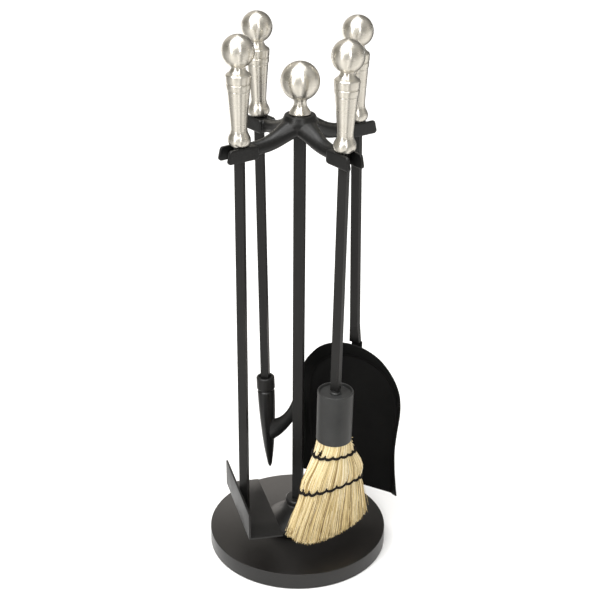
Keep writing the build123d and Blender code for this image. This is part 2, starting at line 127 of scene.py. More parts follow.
def object_coords(nt, scale=(1, 1, 1), rotation=(0, 0, 0)):
    tc = nt.nodes.new("ShaderNodeTexCoord")
    mp = nt.nodes.new("ShaderNodeMapping")
    mp.inputs["Scale"].default_value = scale
    mp.inputs["Rotation"].default_value = rotation
    nt.links.new(tc.outputs["Object"], mp.inputs["Vector"])
    return mp


def noise(nt, vector, scale, detail=4.0, rough=0.55):
    n = add(nt, "ShaderNodeTexNoise", Scale=scale, Detail=detail, Roughness=rough)
    nt.links.new(vector.outputs[0], n.inputs["Vector"])
    return n


def span(nt, source, low, high, a=0.0, b=1.0):
    n = add(nt, "ShaderNodeMapRange")
    n.inputs["From Min"].default_value, n.inputs["From Max"].default_value = a, b
    n.inputs["To Min"].default_value, n.inputs["To Max"].default_value = low, high
    nt.links.new(source, n.inputs["Value"])
    return n


def bump(nt, bsdf, height, distance, strength=1.0, previous=None):
    b = add(nt, "ShaderNodeBump", Strength=strength, Distance=distance)
    nt.links.new(height, b.inputs["Height"])
    if previous is not None:
        nt.links.new(previous.outputs["Normal"], b.inputs["Normal"])
    nt.links.new(b.outputs["Normal"], bsdf.inputs["Normal"])
    return b


def two_tone(nt, bsdf, fac, a, b, socket="Base Color"):
    mix = nt.nodes.new("ShaderNodeMix")
    mix.data_type = "RGBA"
    nt.links.new(fac, mix.inputs["Factor"])
    mix.inputs["A"].default_value = (*a, 1)
    mix.inputs["B"].default_value = (*b, 1)
    nt.links.new(mix.outputs["Result"], bsdf.inputs[socket])
    return mix


# ---------------------------------------------------------------- materials
def nickel_material():
    """Satin nickel, brushed on the lathe: fine rings round the piece's own axis."""
    m, nt, bsdf = new_material("satin_nickel")
    bsdf.inputs["Metallic"].default_value = 1.0
    bsdf.inputs["Anisotropic"].default_value = 0.85
    bsdf.inputs["Anisotropic Rotation"].default_value = 0.25
    tan = nt.nodes.new("ShaderNodeTangent")
    tan.direction_type, tan.axis = "RADIAL", "Z"
    nt.links.new(tan.outputs["Tangent"], bsdf.inputs["Tangent"])
    rings = object_coords(nt, scale=(14, 14, 5200))
    fine = noise(nt, rings, 1.0, 3.0, 0.6)
    coarse_c = object_coords(nt, scale=(40, 40, 700))
    coarse = noise(nt, coarse_c, 1.0, 3.0, 0.5)
    blotch_c = object_coords(nt, scale=(90, 90, 90))
    blotch = noise(nt, blotch_c, 1.0, 4.0, 0.6)
    tone = ramp(nt, [(0.32, (0.67, 0.635, 0.565)), (0.50, (0.74, 0.708, 0.638)), (0.68, (0.79, 0.765, 0.70))])
    mixed = nt.nodes.new("ShaderNodeMath")
    mixed.operation = "ADD"
    half = nt.nodes.new("ShaderNodeMath")
    half.operation = "MULTIPLY"
    half.inputs[1].default_value = 0.5
    nt.links.new(fine.outputs[0], mixed.inputs[0])
    nt.links.new(blotch.outputs[0], mixed.inputs[1])
    nt.links.new(mixed.outputs[0], half.inputs[0])
    nt.links.new(half.outputs[0], tone.inputs[0])
    nt.links.new(tone.outputs[0], bsdf.inputs["Base Color"])
    rough = span(nt, coarse.outputs[0], 0.26, 0.33, 0.3, 0.7)
    nt.links.new(rough.outputs[0], bsdf.inputs["Roughness"])
    b1 = bump(nt, bsdf, coarse.outputs[0], 0.000010, 0.5)
    bump(nt, bsdf, fine.outputs[0], 0.000012, 0.6, b1)
    return m


def black_material(name, dark, light, rough_low, rough_high, grain, grain_depth, patch=9.0, spec=0.42, worn_and_glint=(0.10, 0.098, 0.093), wear_and_glint=0.0):
    """Satin black coat: fine orange peel, patchy sheen, and lighter edges that are partly rubbed paint and partly a
    painted edge highlight.
    """
    m, nt, bsdf = new_material(name)
    bsdf.inputs["Specular IOR Level"].default_value = spec
    c = object_coords(nt)
    cloud = noise(nt, c, patch, 5.0, 0.62)
    peel = noise(nt, c, grain, 2.5, 0.5)
    speck = noise(nt, c, grain * 2.7, 2.0, 0.7)
    mix = nt.nodes.new("ShaderNodeMix")
    mix.data_type = "RGBA"
    sp = span(nt, cloud.outputs[0], 0.0, 1.0, 0.32, 0.68)
    nt.links.new(sp.outputs[0], mix.inputs["Factor"])
    mix.inputs["A"].default_value = (*dark, 1)
    mix.inputs["B"].default_value = (*light, 1)
    out = mix.outputs["Result"]
    # convex edges turn lighter: partly rubbed paint, partly a painted highlight along the edges
    if wear_and_glint > 0:
        geo = nt.nodes.new("ShaderNodeNewGeometry")
        edge = span(nt, geo.outputs["Pointiness"], 0.0, wear_and_glint, 0.52, 0.60)
        edge.clamp = True
        brk = span(nt, speck.outputs[0], 0.2, 1.0, 0.35, 0.65)
        mul = nt.nodes.new("ShaderNodeMath")
        mul.operation = "MULTIPLY"
        nt.links.new(edge.outputs[0], mul.inputs[0])
        nt.links.new(brk.outputs[0], mul.inputs[1])
        rub_and_glint = nt.nodes.new("ShaderNodeMix")
        rub_and_glint.data_type = "RGBA"
        nt.links.new(mul.outputs[0], rub_and_glint.inputs["Factor"])
        nt.links.new(out, rub_and_glint.inputs["A"])
        rub_and_glint.inputs["B"].default_value = (*worn_and_glint, 1)
        out = rub_and_glint.outputs["Result"]
    nt.links.new(out, bsdf.inputs["Base Color"])
    add2 = nt.nodes.new("ShaderNodeMath")
    add2.operation = "ADD"
    r1 = span(nt, cloud.outputs[0], rough_low, rough_high, 0.3, 0.7)
    r2 = span(nt, speck.outputs[0], -0.05, 0.05, 0.3, 0.7)
    nt.links.new(r1.outputs[0], add2.inputs[0])
    nt.links.new(r2.outputs[0], add2.inputs[1])
    nt.links.new(add2.outputs[0], bsdf.inputs["Roughness"])
    b1 = bump(nt, bsdf, peel.outputs[0], grain_depth, 1.0)
    bump(nt, bsdf, speck.outputs[0], grain_depth * 0.35, 0.8, b1)
    return m


def zinc_material():
    m, nt, bsdf = new_material("zinc_steel")
    bsdf.inputs["Metallic"].default_value = 1.0
    c = object_coords(nt)
    n = noise(nt, c, 160.0, 4.0, 0.6)
    two_tone(nt, bsdf, n.outputs[0], (0.50, 0.51, 0.53), (0.68, 0.69, 0.70))
    r = span(nt, n.outputs[0], 0.25, 0.45)
    nt.links.new(r.outputs[0], bsdf.inputs["Roughness"])
    bump(nt, bsdf, n.outputs[0], 0.00005, 0.6)
    return m


def felt_material():
    m, nt, bsdf = new_material("felt")
    bsdf.inputs["Sheen Weight"].default_value = 0.35
    bsdf.inputs["Roughness"].default_value = 0.95
    c = object_coords(nt)
    n = noise(nt, c, 900.0, 6.0, 0.75)
    two_tone(nt, bsdf, n.outputs[0], (0.012, 0.012, 0.013), (0.05, 0.05, 0.052))
    bump(nt, bsdf, n.outputs[0], 0.0004, 1.0)
    return m


def bristle_material():
    """Dry plant fibre: each strand has its own tone, streaked along its length, darker towards the cut ends."""
    m, nt, bsdf = new_material("bristle")
    bsdf.inputs["Specular IOR Level"].default_value = 0.28
    bsdf.inputs["Subsurface Weight"].default_value = 0.0
    at = nt.nodes.new("ShaderNodeAttribute")
    at.attribute_name = "tone"
    tone = ramp(nt, [
        (0.00, (0.17, 0.105, 0.040)), (0.10, (0.34, 0.235, 0.095)), (0.30, (0.60, 0.460, 0.215)),
        (0.58, (0.77, 0.635, 0.345)), (0.82, (0.86, 0.745, 0.470)), (1.00, (0.94, 0.860, 0.640)),
    ])
    nt.links.new(at.outputs["Fac"], tone.inputs[0])
    c = object_coords(nt, scale=(1, 1, 0.12))
    streak = noise(nt, c, 1400.0, 3.0, 0.6)
    mul = nt.nodes.new("ShaderNodeMix")
    mul.data_type = "RGBA"
    mul.blend_type = "MULTIPLY"
    mul.inputs["Factor"].default_value = 0.55
    shade = ramp(nt, [(0.30, (0.66, 0.58, 0.46)), (0.62, (1.0, 1.0, 1.0))])
    nt.links.new(streak.outputs[0], shade.inputs[0])
    nt.links.new(tone.outputs[0], mul.inputs["A"])
    nt.links.new(shade.outputs[0], mul.inputs["B"])
    nt.links.new(mul.outputs["Result"], bsdf.inputs["Base Color"])
    r = span(nt, streak.outputs[0], 0.45, 0.72)
    nt.links.new(r.outputs[0], bsdf.inputs["Roughness"])
    bump(nt, bsdf, streak.outputs[0], 0.00012, 0.7)
    return m


def core_material():
    # dark brown: painted shade for the depth of the bundle, seen between the fibres
    m, nt, bsdf = new_material("bristle_core")
    c = object_coords(nt, scale=(1, 1, 0.05))
    n = noise(nt, c, 700.0, 4.0, 0.7)
    col = ramp(nt, [(0.3, (0.055, 0.036, 0.014)), (0.55, (0.17, 0.115, 0.045)), (0.75, (0.34, 0.25, 0.11))])
    nt.links.new(n.outputs[0], col.inputs[0])
    nt.links.new(col.outputs[0], bsdf.inputs["Base Color"])
    r = span(nt, n.outputs[0], 0.6, 0.85)
    nt.links.new(r.outputs[0], bsdf.inputs["Roughness"])
    bump(nt, bsdf, n.outputs[0], 0.0006, 1.0)
    return m


def twine_material():
    m, nt, bsdf = new_material("twine")
    bsdf.inputs["Specular IOR Level"].default_value = 0.12
    c = object_coords(nt)
    n = noise(nt, c, 1500.0, 4.0, 0.7)
    two_tone(nt, bsdf, n.outputs[0], (0.004, 0.0035, 0.003), (0.018, 0.015, 0.013))
    r = span(nt, n.outputs[0], 0.60, 0.85)
    nt.links.new(r.outputs[0], bsdf.inputs["Roughness"])
    bump(nt, bsdf, n.outputs[0], 0.00012, 0.8)
    return m


NICKEL = nickel_material()
BAR = black_material("black_bar", (0.0070, 0.0068, 0.0066), (0.0120, 0.0117, 0.0113), 0.34, 0.46, 1700.0, 0.00003, 11.0, spec=0.31)
BASE = black_material("black_base", (0.0045, 0.0040, 0.0036), (0.0085, 0.0074, 0.0066), 0.30, 0.42, 1500.0, 0.000035, 7.0, spec=0.46)
# the casting's lighter edges are partly wear and partly a painted edge highlight
CAST = black_material("black_casting", (0.0050, 0.0050, 0.0050), (0.0100, 0.0100, 0.0098), 0.26, 0.38, 900.0, 0.00007, 22.0, spec=0.34, worn_and_glint=(0.050, 0.049, 0.047), wear_and_glint=0.7)
SHEET = black_material("black_sheet", (0.0040, 0.0040, 0.0040), (0.0072, 0.0072, 0.0069), 0.44, 0.56, 1500.0, 0.00003, 8.0, spec=0.10)
CHAR = black_material("black_ferrule", (0.022, 0.0225, 0.0222), (0.034, 0.0345, 0.034), 0.40, 0.52, 1300.0, 0.00005, 30.0, spec=0.36)
ZINC = zinc_material()
FELT = felt_material()
BRISTLE = bristle_material()
CORE = core_material()
TWINE = twine_material()


# ---------------------------------------------------------------- mesh helpers
def mesh_object(name, verts, faces, mat, matrix=None, smooth=True, sharp=None):
    me = bpy.data.meshes.new(name)
    me.from_pydata([tuple(v) for v in verts], [], faces)
    me.update()
    if smooth:
        me.shade_smooth()
    ob = bpy.data.objects.new(name, me)
    scene.collection.objects.link(ob)
    me.materials.append(mat)
    if matrix is not None:
        ob.matrix_world = matrix
    if sharp is not None:
        mark_sharp(me, sharp)
    return ob


def mark_sharp(me, degrees):
    bm = bmesh.new()
    bm.from_mesh(me)
    lim = math.radians(degrees)
    for e in bm.edges:
        e.smooth = e.calc_face_angle(0.0) < lim
    bm.to_mesh(me)
    bm.free()


def axis_matrix(origin_mm, up):
    """Local frame with z along up and its origin on the axis, in metres."""
    z = up.normalized()
    x = (Vector((1, 0, 0)) - z * z.x).normalized()
    y = z.cross(x)
    o = origin_mm * MM
    return Matrix(((x.x, y.x, z.x, o.x), (x.y, y.y, z.y, o.y), (x.z, y.z, z.z, o.z), (0, 0, 0, 1)))


def rounded(profile, radius, steps=3):
    """Rounds the corners of an open profile; points may carry their own radius as a third number."""
    out = [np.array(profile[0][:2], float)]
    for i in range(1, len(profile) - 1):
        p = np.array(profile[i][:2], float)
        r = profile[i][2] if len(profile[i]) > 2 else radius
        a, b = np.array(profile[i - 1][:2], float) - p, np.array(profile[i + 1][:2], float) - p
        la, lb = np.linalg.norm(a), np.linalg.norm(b)
        if r <= 0 or la < 1e-6 or lb < 1e-6:
            out.append(p)
            continue
        turn = math.acos(max(-1, min(1, float(-(a @ b) / la / lb))))
        if turn < math.radians(6):
            out.append(p)
            continue
        t = min(r * math.tan(turn / 2), 0.45 * la, 0.45 * lb)
        p0, p1 = p + a / la * t, p + b / lb * t
        for k in range(steps + 1):
            s = k / steps
            out.append((1 - s) ** 2 * p0 + 2 * s * (1 - s) * p + s * s * p1)
    out.append(np.array(profile[-1][:2], float))
    return out


def curve(points, n):
    """Smooth curve through points (Catmull-Rom, centripetal enough for these profiles)."""
    p = [np.array(q[:2], float) for q in points]
    p = [2 * p[0] - p[1]] + p + [2 * p[-1] - p[-2]]
    out = []
    for i in range(1, len(p) - 2):
        for k in range(n):
            t = k / n
            a, b, c, d = p[i - 1], p[i], p[i + 1], p[i + 2]
            out.append(0.5 * ((2 * b) + (c - a) * t + (2 * a - 5 * b + 4 * c - d) * t * t + (3 * b - a - 3 * c + d) * t ** 3))
    out.append(p[-2])
    return [tuple(q) for q in out]


def lathe(name, profile, mat, matrix, segments=160, sharp=32):
    """Closed turned solid: the profile (radius, height) in mm runs from the axis to the axis, or is a closed ring."""
    pts = [(max(0.0, float(r)) * MM, float(h) * MM) for r, h in profile]
    on_axis = pts[0][0] < 1e-7 and pts[-1][0] < 1e-7
    verts, faces = [], []
    rings = []
    ca = [(math.cos(2 * math.pi * k / segments), math.sin(2 * math.pi * k / segments)) for k in range(segments)]
    for r, h in pts:
        if r < 1e-7:
            rings.append([len(verts)])
            verts.append((0, 0, h))
        else:
            rings.append(list(range(len(verts), len(verts) + segments)))
            verts += [(r * c, r * s, h) for c, s in ca]
    pairs = list(zip(rings[:-1], rings[1:]))
    if not on_axis:
        pairs.append((rings[-1], rings[0]))
    for a, b in pairs:
        if len(a) == 1 and len(b) == 1:
            continue
        for k in range(segments):
            j = (k + 1) % segments
            if len(a) == 1:
                faces.append((a[0], b[j], b[k]))
            elif len(b) == 1:
                faces.append((a[k], a[j], b[0]))
            else:
                faces.append((a[k], a[j], b[j], b[k]))
    ob = mesh_object(name, verts, faces, mat, matrix)
    bm = bmesh.new()
    bm.from_mesh(ob.data)
    bmesh.ops.recalc_face_normals(bm, faces=bm.faces)
    lim = math.radians(sharp)
    for e in bm.edges:
        e.smooth = e.calc_face_angle(0.0) < lim
    bm.to_mesh(ob.data)
    bm.free()
    return ob


def evaluated_copy(source, name, modifiers, mat):
    """A new object whose mesh is source's mesh after these modifiers."""
    tmp = bpy.data.objects.new("tmp", source.data.copy())
    scene.collection.objects.link(tmp)
    for kind, values in modifiers:
        md = tmp.modifiers.new(kind, kind)
        for k, v in values.items():
            setattr(md, k, v)
    bpy.context.view_layer.update()
    dg = bpy.context.evaluated_depsgraph_get()
    me = bpy.data.meshes.new_from_object(tmp.evaluated_get(dg))
    bpy.data.objects.remove(tmp)
    me.name = name
    me.materials.clear()
    me.materials.append(mat)
    me.shade_smooth()
    ob = bpy.data.objects.new(name, me)
    scene.collection.objects.link(ob)
    return ob


def finish_piece(ob, body, slot, *nodes):
    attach(ob, body)
    if nodes:
        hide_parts(*nodes)
    return ob


def paint(node, mat, bevel=0.0, segments=2, angle=25):
    """Gives a carried-over part its finish, and breaks its sharp edges."""
    o = NODES[node]
    o.data.materials.clear()
    o.data.materials.append(mat)
    if bevel > 0:
        w = o.modifiers.new("weld", "WELD")
        w.merge_threshold = 0.000002
        d = o.modifiers.new("flat", "DECIMATE")
        d.decimate_type = "DISSOLVE"
        d.angle_limit = math.radians(0.6)
        b = o.modifiers.new("edge", "BEVEL")
        b.width, b.segments, b.limit_method, b.angle_limit = bevel * MM, segments, "ANGLE", math.radians(angle)
        b.harden_normals = True
    return o


# ---------------------------------------------------------------- stand
UP = Vector((0, 0, 1))
base_profile = rounded([
    (0, 0.5 + 1.5), (103.9, 2.0), (104.1, 0.5, 0.1), (113.7, 0.5), (114.3, 1.1), (114.3, BASE_TOP, 0.8), (0, BASE_TOP),
], 0.35, 4)
base = lathe("base", base_profile, BASE, axis_matrix(Vector((0, 0, 0)), UP), 256, 40)
finish_piece(base, "stand", "black_bar", "base_plate")
paint("base_pad", FELT)
paint("base_bolt", ZINC)
paint("base_washer", ZINC)

foot_profile = (
    [(0, BASE_TOP)]
    + rounded([(41.2, BASE_TOP), (42.0, BASE_TOP + 0.8), (42.0, 28.4), (40.9, 30.3)], 0.5, 3)[0:]
    + curve([(40.4, 30.7), (37.0, 31.9), (30.6, 35.3), (24.4, 40.4), (20.0, 45.6), (17.4, 51.0), (16.6, 53.6)], 6)
    + rounded([(16.6, 53.7), (15.2, 54.5), (15.1, 55.6), (15.8, 56.4), (15.8, 60.4), (14.3, 61.8), (0, 61.8)], 0.35, 3)
)
foot = lathe("foot", foot_profile, BAR, axis_matrix(Vector((0, 0, 0)), UP), 160, 40)
finish_piece(foot, "stand", "black_bar", "pole_foot")
paint("pole", BAR, 0.55, 3)
rack = evaluated_copy(NODES["tool_rack"], "rack", [
    ("REMESH", {"mode": "VOXEL", "voxel_size": 0.00075}),
    ("SMOOTH", {"factor": 0.5, "iterations": 7}),
], CAST)
finish_piece(rack, "stand", "black_casting", "tool_rack")
paint("finial_stud", ZINC)

HUB_TOP = 578.5
neck_profile = (
    [(0, HUB_TOP)] + rounded([(11.2, HUB_TOP), (12.5, HUB_TOP + 0.9), (12.35, HUB_TOP + 2.0), (12.0, HUB_TOP + 2.8)], 0.3, 3)
    + curve([(11.9, 581.6), (9.7, 585.0), (8.0, 588.0), (7.3, 591.0), (7.45, 593.8), (8.5, 596.2)], 8)
    + [(8.7, 596.9), (0, 596.9)]
)
finial_neck = lathe("finial_stem", neck_profile, NICKEL, axis_matrix(Vector((0, 0, 0)), UP), 128, 34)
finish_piece(finial_neck, "stand", "satin_nickel", "finial_neck")


def ball_profile(radius, centre, flat, n=72):
    """Ball cut off flat at height flat, from the axis below to the axis above."""
    start = math.asin(max(-1.0, (flat - centre) / radius))
    pts = [(0, flat)]
    for k in range(n + 1):
        t = start + (math.pi / 2 - start) * k / n
        pts.append((radius * math.cos(t), centre + radius * math.sin(t)))
    pts[-1] = (0, centre + radius)
    return pts


finial = lathe("finial", ball_profile(22.4, 616.8, 596.6, 90), NICKEL, axis_matrix(Vector((0, 0, 0)), UP), 160, 34)
finish_piece(finial, "stand", "satin_nickel", "finial_ball")

# ---------------------------------------------------------------- handles
BODY_SLOT = "satin_nickel"
for tool in TOOLS:
    o, up = tool_axis(tool)
    mat = axis_matrix(o, up)
    knob = lathe(f"{tool}_ball", ball_profile(18.3, 105.8, 89.85, 72), NICKEL, mat, 144, 34)
    finish_piece(knob, tool, BODY_SLOT, f"{tool}_knob")
    collar_profile = (
        [(0, 62.6), (12.6, 62.6)]
        + rounded([(12.6, 62.7), (12.6, 63.8), (13.3, 64.5), (13.75, 69.7), (13.05, 70.2), (13.05, 71.1), (13.85, 71.7), (14.25, 78.2), (14.2, 79.7), (13.5, 80.75), (12.4, 81.6)], 0.28, 2)
        + curve([(12.3, 81.65), (10.5, 83.1), (8.9, 85.3), (8.15, 87.2), (7.75, 89.0), (7.9, 89.75)], 6)
        + [(0, 89.75)]
    )
    collar = lathe(f"{tool}_shoulder", collar_profile, NICKEL, mat, 128, 34)
    finish_piece(collar, tool, BODY_SLOT, f"{tool}_collar")
    grip_profile = (
        [(0, 17.6), (9.2, 17.6)]
        + curve([(9.15, 17.9), (9.2, 21.0), (9.6, 27.0), (10.35, 36.5), (11.3, 48.0), (12.25, 59.4), (12.45, 61.7)], 6)
        + [(12.15, 62.55), (0, 62.55)]
    )
    grip = lathe(f"{tool}_shaft", grip_profile, NICKEL, mat, 128, 34)
    finish_piece(grip, tool, BODY_SLOT, f"{tool}_grip")
    bell_profile = (
        [(0, 5.0), (7.4, 4.6), (7.6, 0.05)]
        + rounded([(7.6, 0.05), (9.3, 0.05), (10.6, 0.9), (11.8, 2.3)], 0.4, 3)[1:]
        + curve([(11.9, 2.4), (12.75, 4.4), (12.98, 6.4), (12.75, 8.6), (11.9, 11.0), (10.6, 13.6), (9.75, 15.9), (9.5, 17.6)], 6)
        + [(9.45, 18.0), (0, 18.0)]
    )
    bell = lathe(f"{tool}_cup", bell_profile, NICKEL, mat, 128, 34)
    finish_piece(bell, tool, BODY_SLOT, f"{tool}_bell")
    paint(f"{tool}_tie_rod", ZINC)
    paint(f"{tool}_bar", BAR)

# ---------------------------------------------------------------- hoe and poker heads
def closed_round(points, default, steps=4):
    """Closed outline with rounded corners; a point may carry its own radius."""
    out = []
    n = len(points)
    for i in range(n):
        p = np.array(points[i][:2], float)
        r = points[i][2] if len(points[i]) > 2 else default
        a = np.array(points[i - 1][:2], float) - p
        b = np.array(points[(i + 1) % n][:2], float) - p
        la, lb = np.linalg.norm(a), np.linalg.norm(b)
        turn = math.acos(max(-1, min(1, float(-(a @ b) / la / lb))))
        t = min(r * math.tan(turn / 2), 0.45 * la, 0.45 * lb)
        for k in range(steps + 1):
            q = k / steps
            out.append((1 - q) ** 2 * (p + a / la * t) + 2 * q * (1 - q) * p + q * q * (p + b / lb * t))
    return np.array(out)


def strip(name, section, origin, x_dir, y_dir, along, length, mat, edge=0.3):
    """Closed bar of one section, with softly broken ends (mm)."""
    area2 = float(np.sum(section[:, 0] * np.roll(section[:, 1], -1) - np.roll(section[:, 0], -1) * section[:, 1]))
    d = np.roll(section, -1, 0) - np.roll(section, 1, 0)
    d /= np.linalg.norm(d, axis=1)[:, None]
    inward = np.stack([-d[:, 1], d[:, 0]], 1) * (1 if area2 > 0 else -1)
    n = len(section)
    rings = [(edge * (1 - math.cos(a)), edge * (1 - math.sin(a))) for a in (0.0, math.pi / 4, math.pi / 2)]
    spans = [(u, sft) for u, sft in rings] + [(length * f, 0.0) for f in (0.25, 0.5, 0.75)] + [(length - u, sft) for u, sft in reversed(rings)]
    verts, faces = [], []
    for u, sft in spans:
        for p in section + inward * sft:
            v = origin + x_dir * float(p[0]) + y_dir * float(p[1]) + along * float(u)
            verts.append(tuple(v * MM))
    for i in range(len(spans) - 1):
        for k in range(n):
            j = (k + 1) % n
            faces.append((i * n + k, i * n + j, (i + 1) * n + j, (i + 1) * n + k))
    faces.append(tuple(range(n)))
    faces.append(tuple(reversed(range((len(spans) - 1) * n, len(spans) * n))))
    ob = mesh_object(name, verts, faces, mat)
    bm = bmesh.new()
    bm.from_mesh(ob.data)
    bmesh.ops.triangulate(bm, faces=[f for f in bm.faces if len(f.verts) > 4], ngon_method="EAR_CLIP")
    bmesh.ops.recalc_face_normals(bm, faces=bm.faces)
    for e in bm.edges:
        e.smooth = e.calc_face_angle(0.0) < math.radians(40)
    bm.to_mesh(ob.data)
    bm.free()
    return ob


ROD_S, HOE_BAR_TURN = 10.3, -4.0
HOE_TURN, HOE_SLOPE, HOE_T, HOE_Z = 114.39, 3.0, 2.5, 76.0
HOE_LEN, HOE_W, HOE_BACK, HOE_FRONT = 129.0, 43.0, 33.5, 64.5
ht = math.radians(HOE_TURN)
hoe_u = Vector((math.cos(ht), math.sin(ht), 0))
hoe_v = Vector((math.sin(ht), -math.cos(ht), 0))
hb = math.radians(HOE_TURN - 90 - HOE_BAR_TURN)
reach = ROD_S / 2 * (abs(math.cos(hb)) + abs(math.sin(hb)))
hoe_corner = axis_point("hoe", HOE_Z) - hoe_v * (reach + HOE_T + 0.02)
hdz = math.tan(math.radians(HOE_SLOPE))
hoe_section = closed_round([
    (0, -HOE_T, 1.6), (HOE_W, -HOE_T - hdz * HOE_W, 0.45), (HOE_W, -hdz * HOE_W, 0.45), (HOE_T, -hdz * HOE_T, 1.0),
    (HOE_T, HOE_BACK, 0.45), (0, HOE_BACK, 0.45),
], 0.4)
hoe = strip("hoe_head", hoe_section, hoe_corner - hoe_u * HOE_FRONT, hoe_v, UP, hoe_u, HOE_LEN, BAR)
finish_piece(hoe, "hoe", "black_bar", "hoe_blade")
socket_o = axis_point("poker", 201.0)
LEAN = -0.041                       # the poker's head is a little out of line with its bar
poker_up = Vector((LEAN * math.cos(VIEW_AZ), LEAN * math.sin(VIEW_AZ), 1)).normalized()
ring_profile = rounded([
    (0, 0.0), (7.5, 0.0, 0.5), (8.1, 2.4, 0.4), (10.5, 2.6, 0.5), (11.8, 1.2, 0.6), (11.95, -13.8, 0.4), (11.1, -15.2, 0.4), (0, -15.2),
], 0.4, 3)
ring = lathe("poker_ring", ring_profile, BAR, axis_matrix(socket_o, poker_up), 128, 34)
finish_piece(ring, "poker", "black_bar", "poker_socket")
spike = evaluated_copy(NODES["poker_spike"], "poker_head", [
    ("REMESH", {"mode": "VOXEL", "voxel_size": 0.0005}),
    ("SMOOTH", {"factor": 0.5, "iterations": 5}),
], CAST)
finish_piece(spike, "poker", "black_bar", "poker_spike")

# ---------------------------------------------------------------- brush
FERRULE_TOP = 257.6
ferrule_o, brush_up = axis_point("brush", FERRULE_TOP), tool_axis("brush")[1]
depth = FERRULE_TOP - 191.2
ferrule_profile = rounded([
    (0, -3.6), (19.2, -3.6, 0.5), (19.75, -0.5, 0.5), (20.3, 0.0, 0.5), (21.3, 0.0, 0.7), (21.8, -1.0, 0.6), (21.72, -30.0, 0), (21.6, -depth + 0.6, 0.4),
    (21.2, -depth, 0.3), (20.5, -depth, 0.2), (20.35, -depth + 2, 0), (20.35, -6.4, 0.4), (0, -6.4),
], 0.3, 4)
ferrule = lathe("brush_cup_sleeve", ferrule_profile, CHAR, axis_matrix(ferrule_o, brush_up), 160, 34)
finish_piece(ferrule, "brush", "black_bar", "brush_ferrule")
paint("brush_neck", CHAR)

BW = math.radians(45.0)
W = np.array([math.cos(BW), math.sin(BW), 0.0])
N = np.array([math.sin(BW), -math.cos(BW), 0.0])        # towards the front
LEVELS = np.array([   # height, shift along the width, half width, half thickness
    (252.0, 0.0, 19.6, 19.6), (200.0, 0.0, 19.8, 19.8), (190.0, 0.0, 20.2, 20.0), (183.0, 0.0, 22.4, 19.8), (174.0, -0.3, 27.4, 18.6), (166.0, 0.0, 30.6, 18.3),
    (158.0, 0.1, 36.6, 18.2), (146.0, 0.2, 43.6, 17.0), (136.0, -0.3, 46.4, 15.8), (127.0, -1.8, 46.2, 14.2), (118.0, -2.6, 47.6, 13.8),
    (105.0, -4.0, 52.0, 12.9), (92.0, -5.2, 56.2, 11.4), (70.0, -7.4, 62.6, 9.8), (50.0, -9.5, 67.0, 8.4), (40.0, -10.0, 69.0, 8.0),
])[::-1]
CUT = np.array([(-90, 104), (-77, 86.5), (-62, 70.5), (-46, 60.5), (-28, 55.0), (0, 53.0), (24, 55.0), (42, 59.5), (58, 69.0), (80, 88)], float)
ROW1 = np.array([(-40, 178.0), (-30, 175.5), (-14, 175.0), (0, 174.0), (18, 171.0), (30, 168.5), (40, 166.5)], float)
ROW2 = np.array([(-52, 133.5), (-45, 130.5), (-38, 129.0), (-26, 129.3), (-11, 129.0), (6, 128.6), (25, 127.5), (42, 124.5), (52, 125.5)], float)
LOBES1, LOBES2 = 15, 19            # stitches round the whole bundle


def axis_at(z):
    a = math.radians(315.0)
    sx, sy = 0.0152 * math.cos(VIEW_AZ), 0.0152 * math.sin(VIEW_AZ)
    return np.stack([RING_R * math.cos(a) + sx * (z - 549.0), RING_R * math.sin(a) + sy * (z - 549.0), z], -1)


def level(z):
    return [np.interp(z, LEVELS[:, 0], LEVELS[:, k]) for k in (1, 2, 3)]


def lobe(theta, count):
    """1 in the middle of a stitch, 0 at its ends."""
    return np.abs(np.sin(theta * count / 2.0))


def fan(a, b, z):
    """Points of the bundle: (a, b) in the unit disc, z height in mm. The rows of stitching pull the bundle in."""
    a, b, z = np.broadcast_arrays(np.asarray(a, float), np.asarray(b, float), np.asarray(z, float))
    shift, half, thick = level(z)
    s = shift + half * a
    rad = np.sqrt(a * a + b * b)
    theta = np.arctan2(b, a)
    pull = np.zeros_like(z)
    for row, count in ((ROW1, LOBES1), (ROW2, LOBES2)):
        d = (z - np.interp(s, row[:, 0], row[:, 1]))
        lb = lobe(theta, count)
        near = np.exp(-((d / 5.5) ** 2))
        pull = pull + near * (1.5 - 1.0 * lb) + np.exp(-(((d - 9.0) / 7.0) ** 2)) * (-0.8 * lb)
    k = 1.0 - pull / np.maximum(thick, 6.0)
    grow = np.where(rad > 1e-6, k, 1.0)
    x = shift + half * a * (1 - (1 - grow) * 0.35)
    y = thick * b * grow
    return axis_at(z) + x[..., None] * W + y[..., None] * N


def cut_height(s):
    return np.interp(s, CUT[:, 0], CUT[:, 1])


tuft_rng = np.random.default_rng(911)
TUFTS = tuft_rng.normal(0, 0.05, 190)             # tone of each tuft
TUFT_SHIFT = tuft_rng.uniform(-0.22, 0.22, 190)
TUFT_PULL = tuft_rng.uniform(0.04, 0.24, 190)     # how tightly its fibres keep together lower down


QUANTILE = statistics.NormalDist()


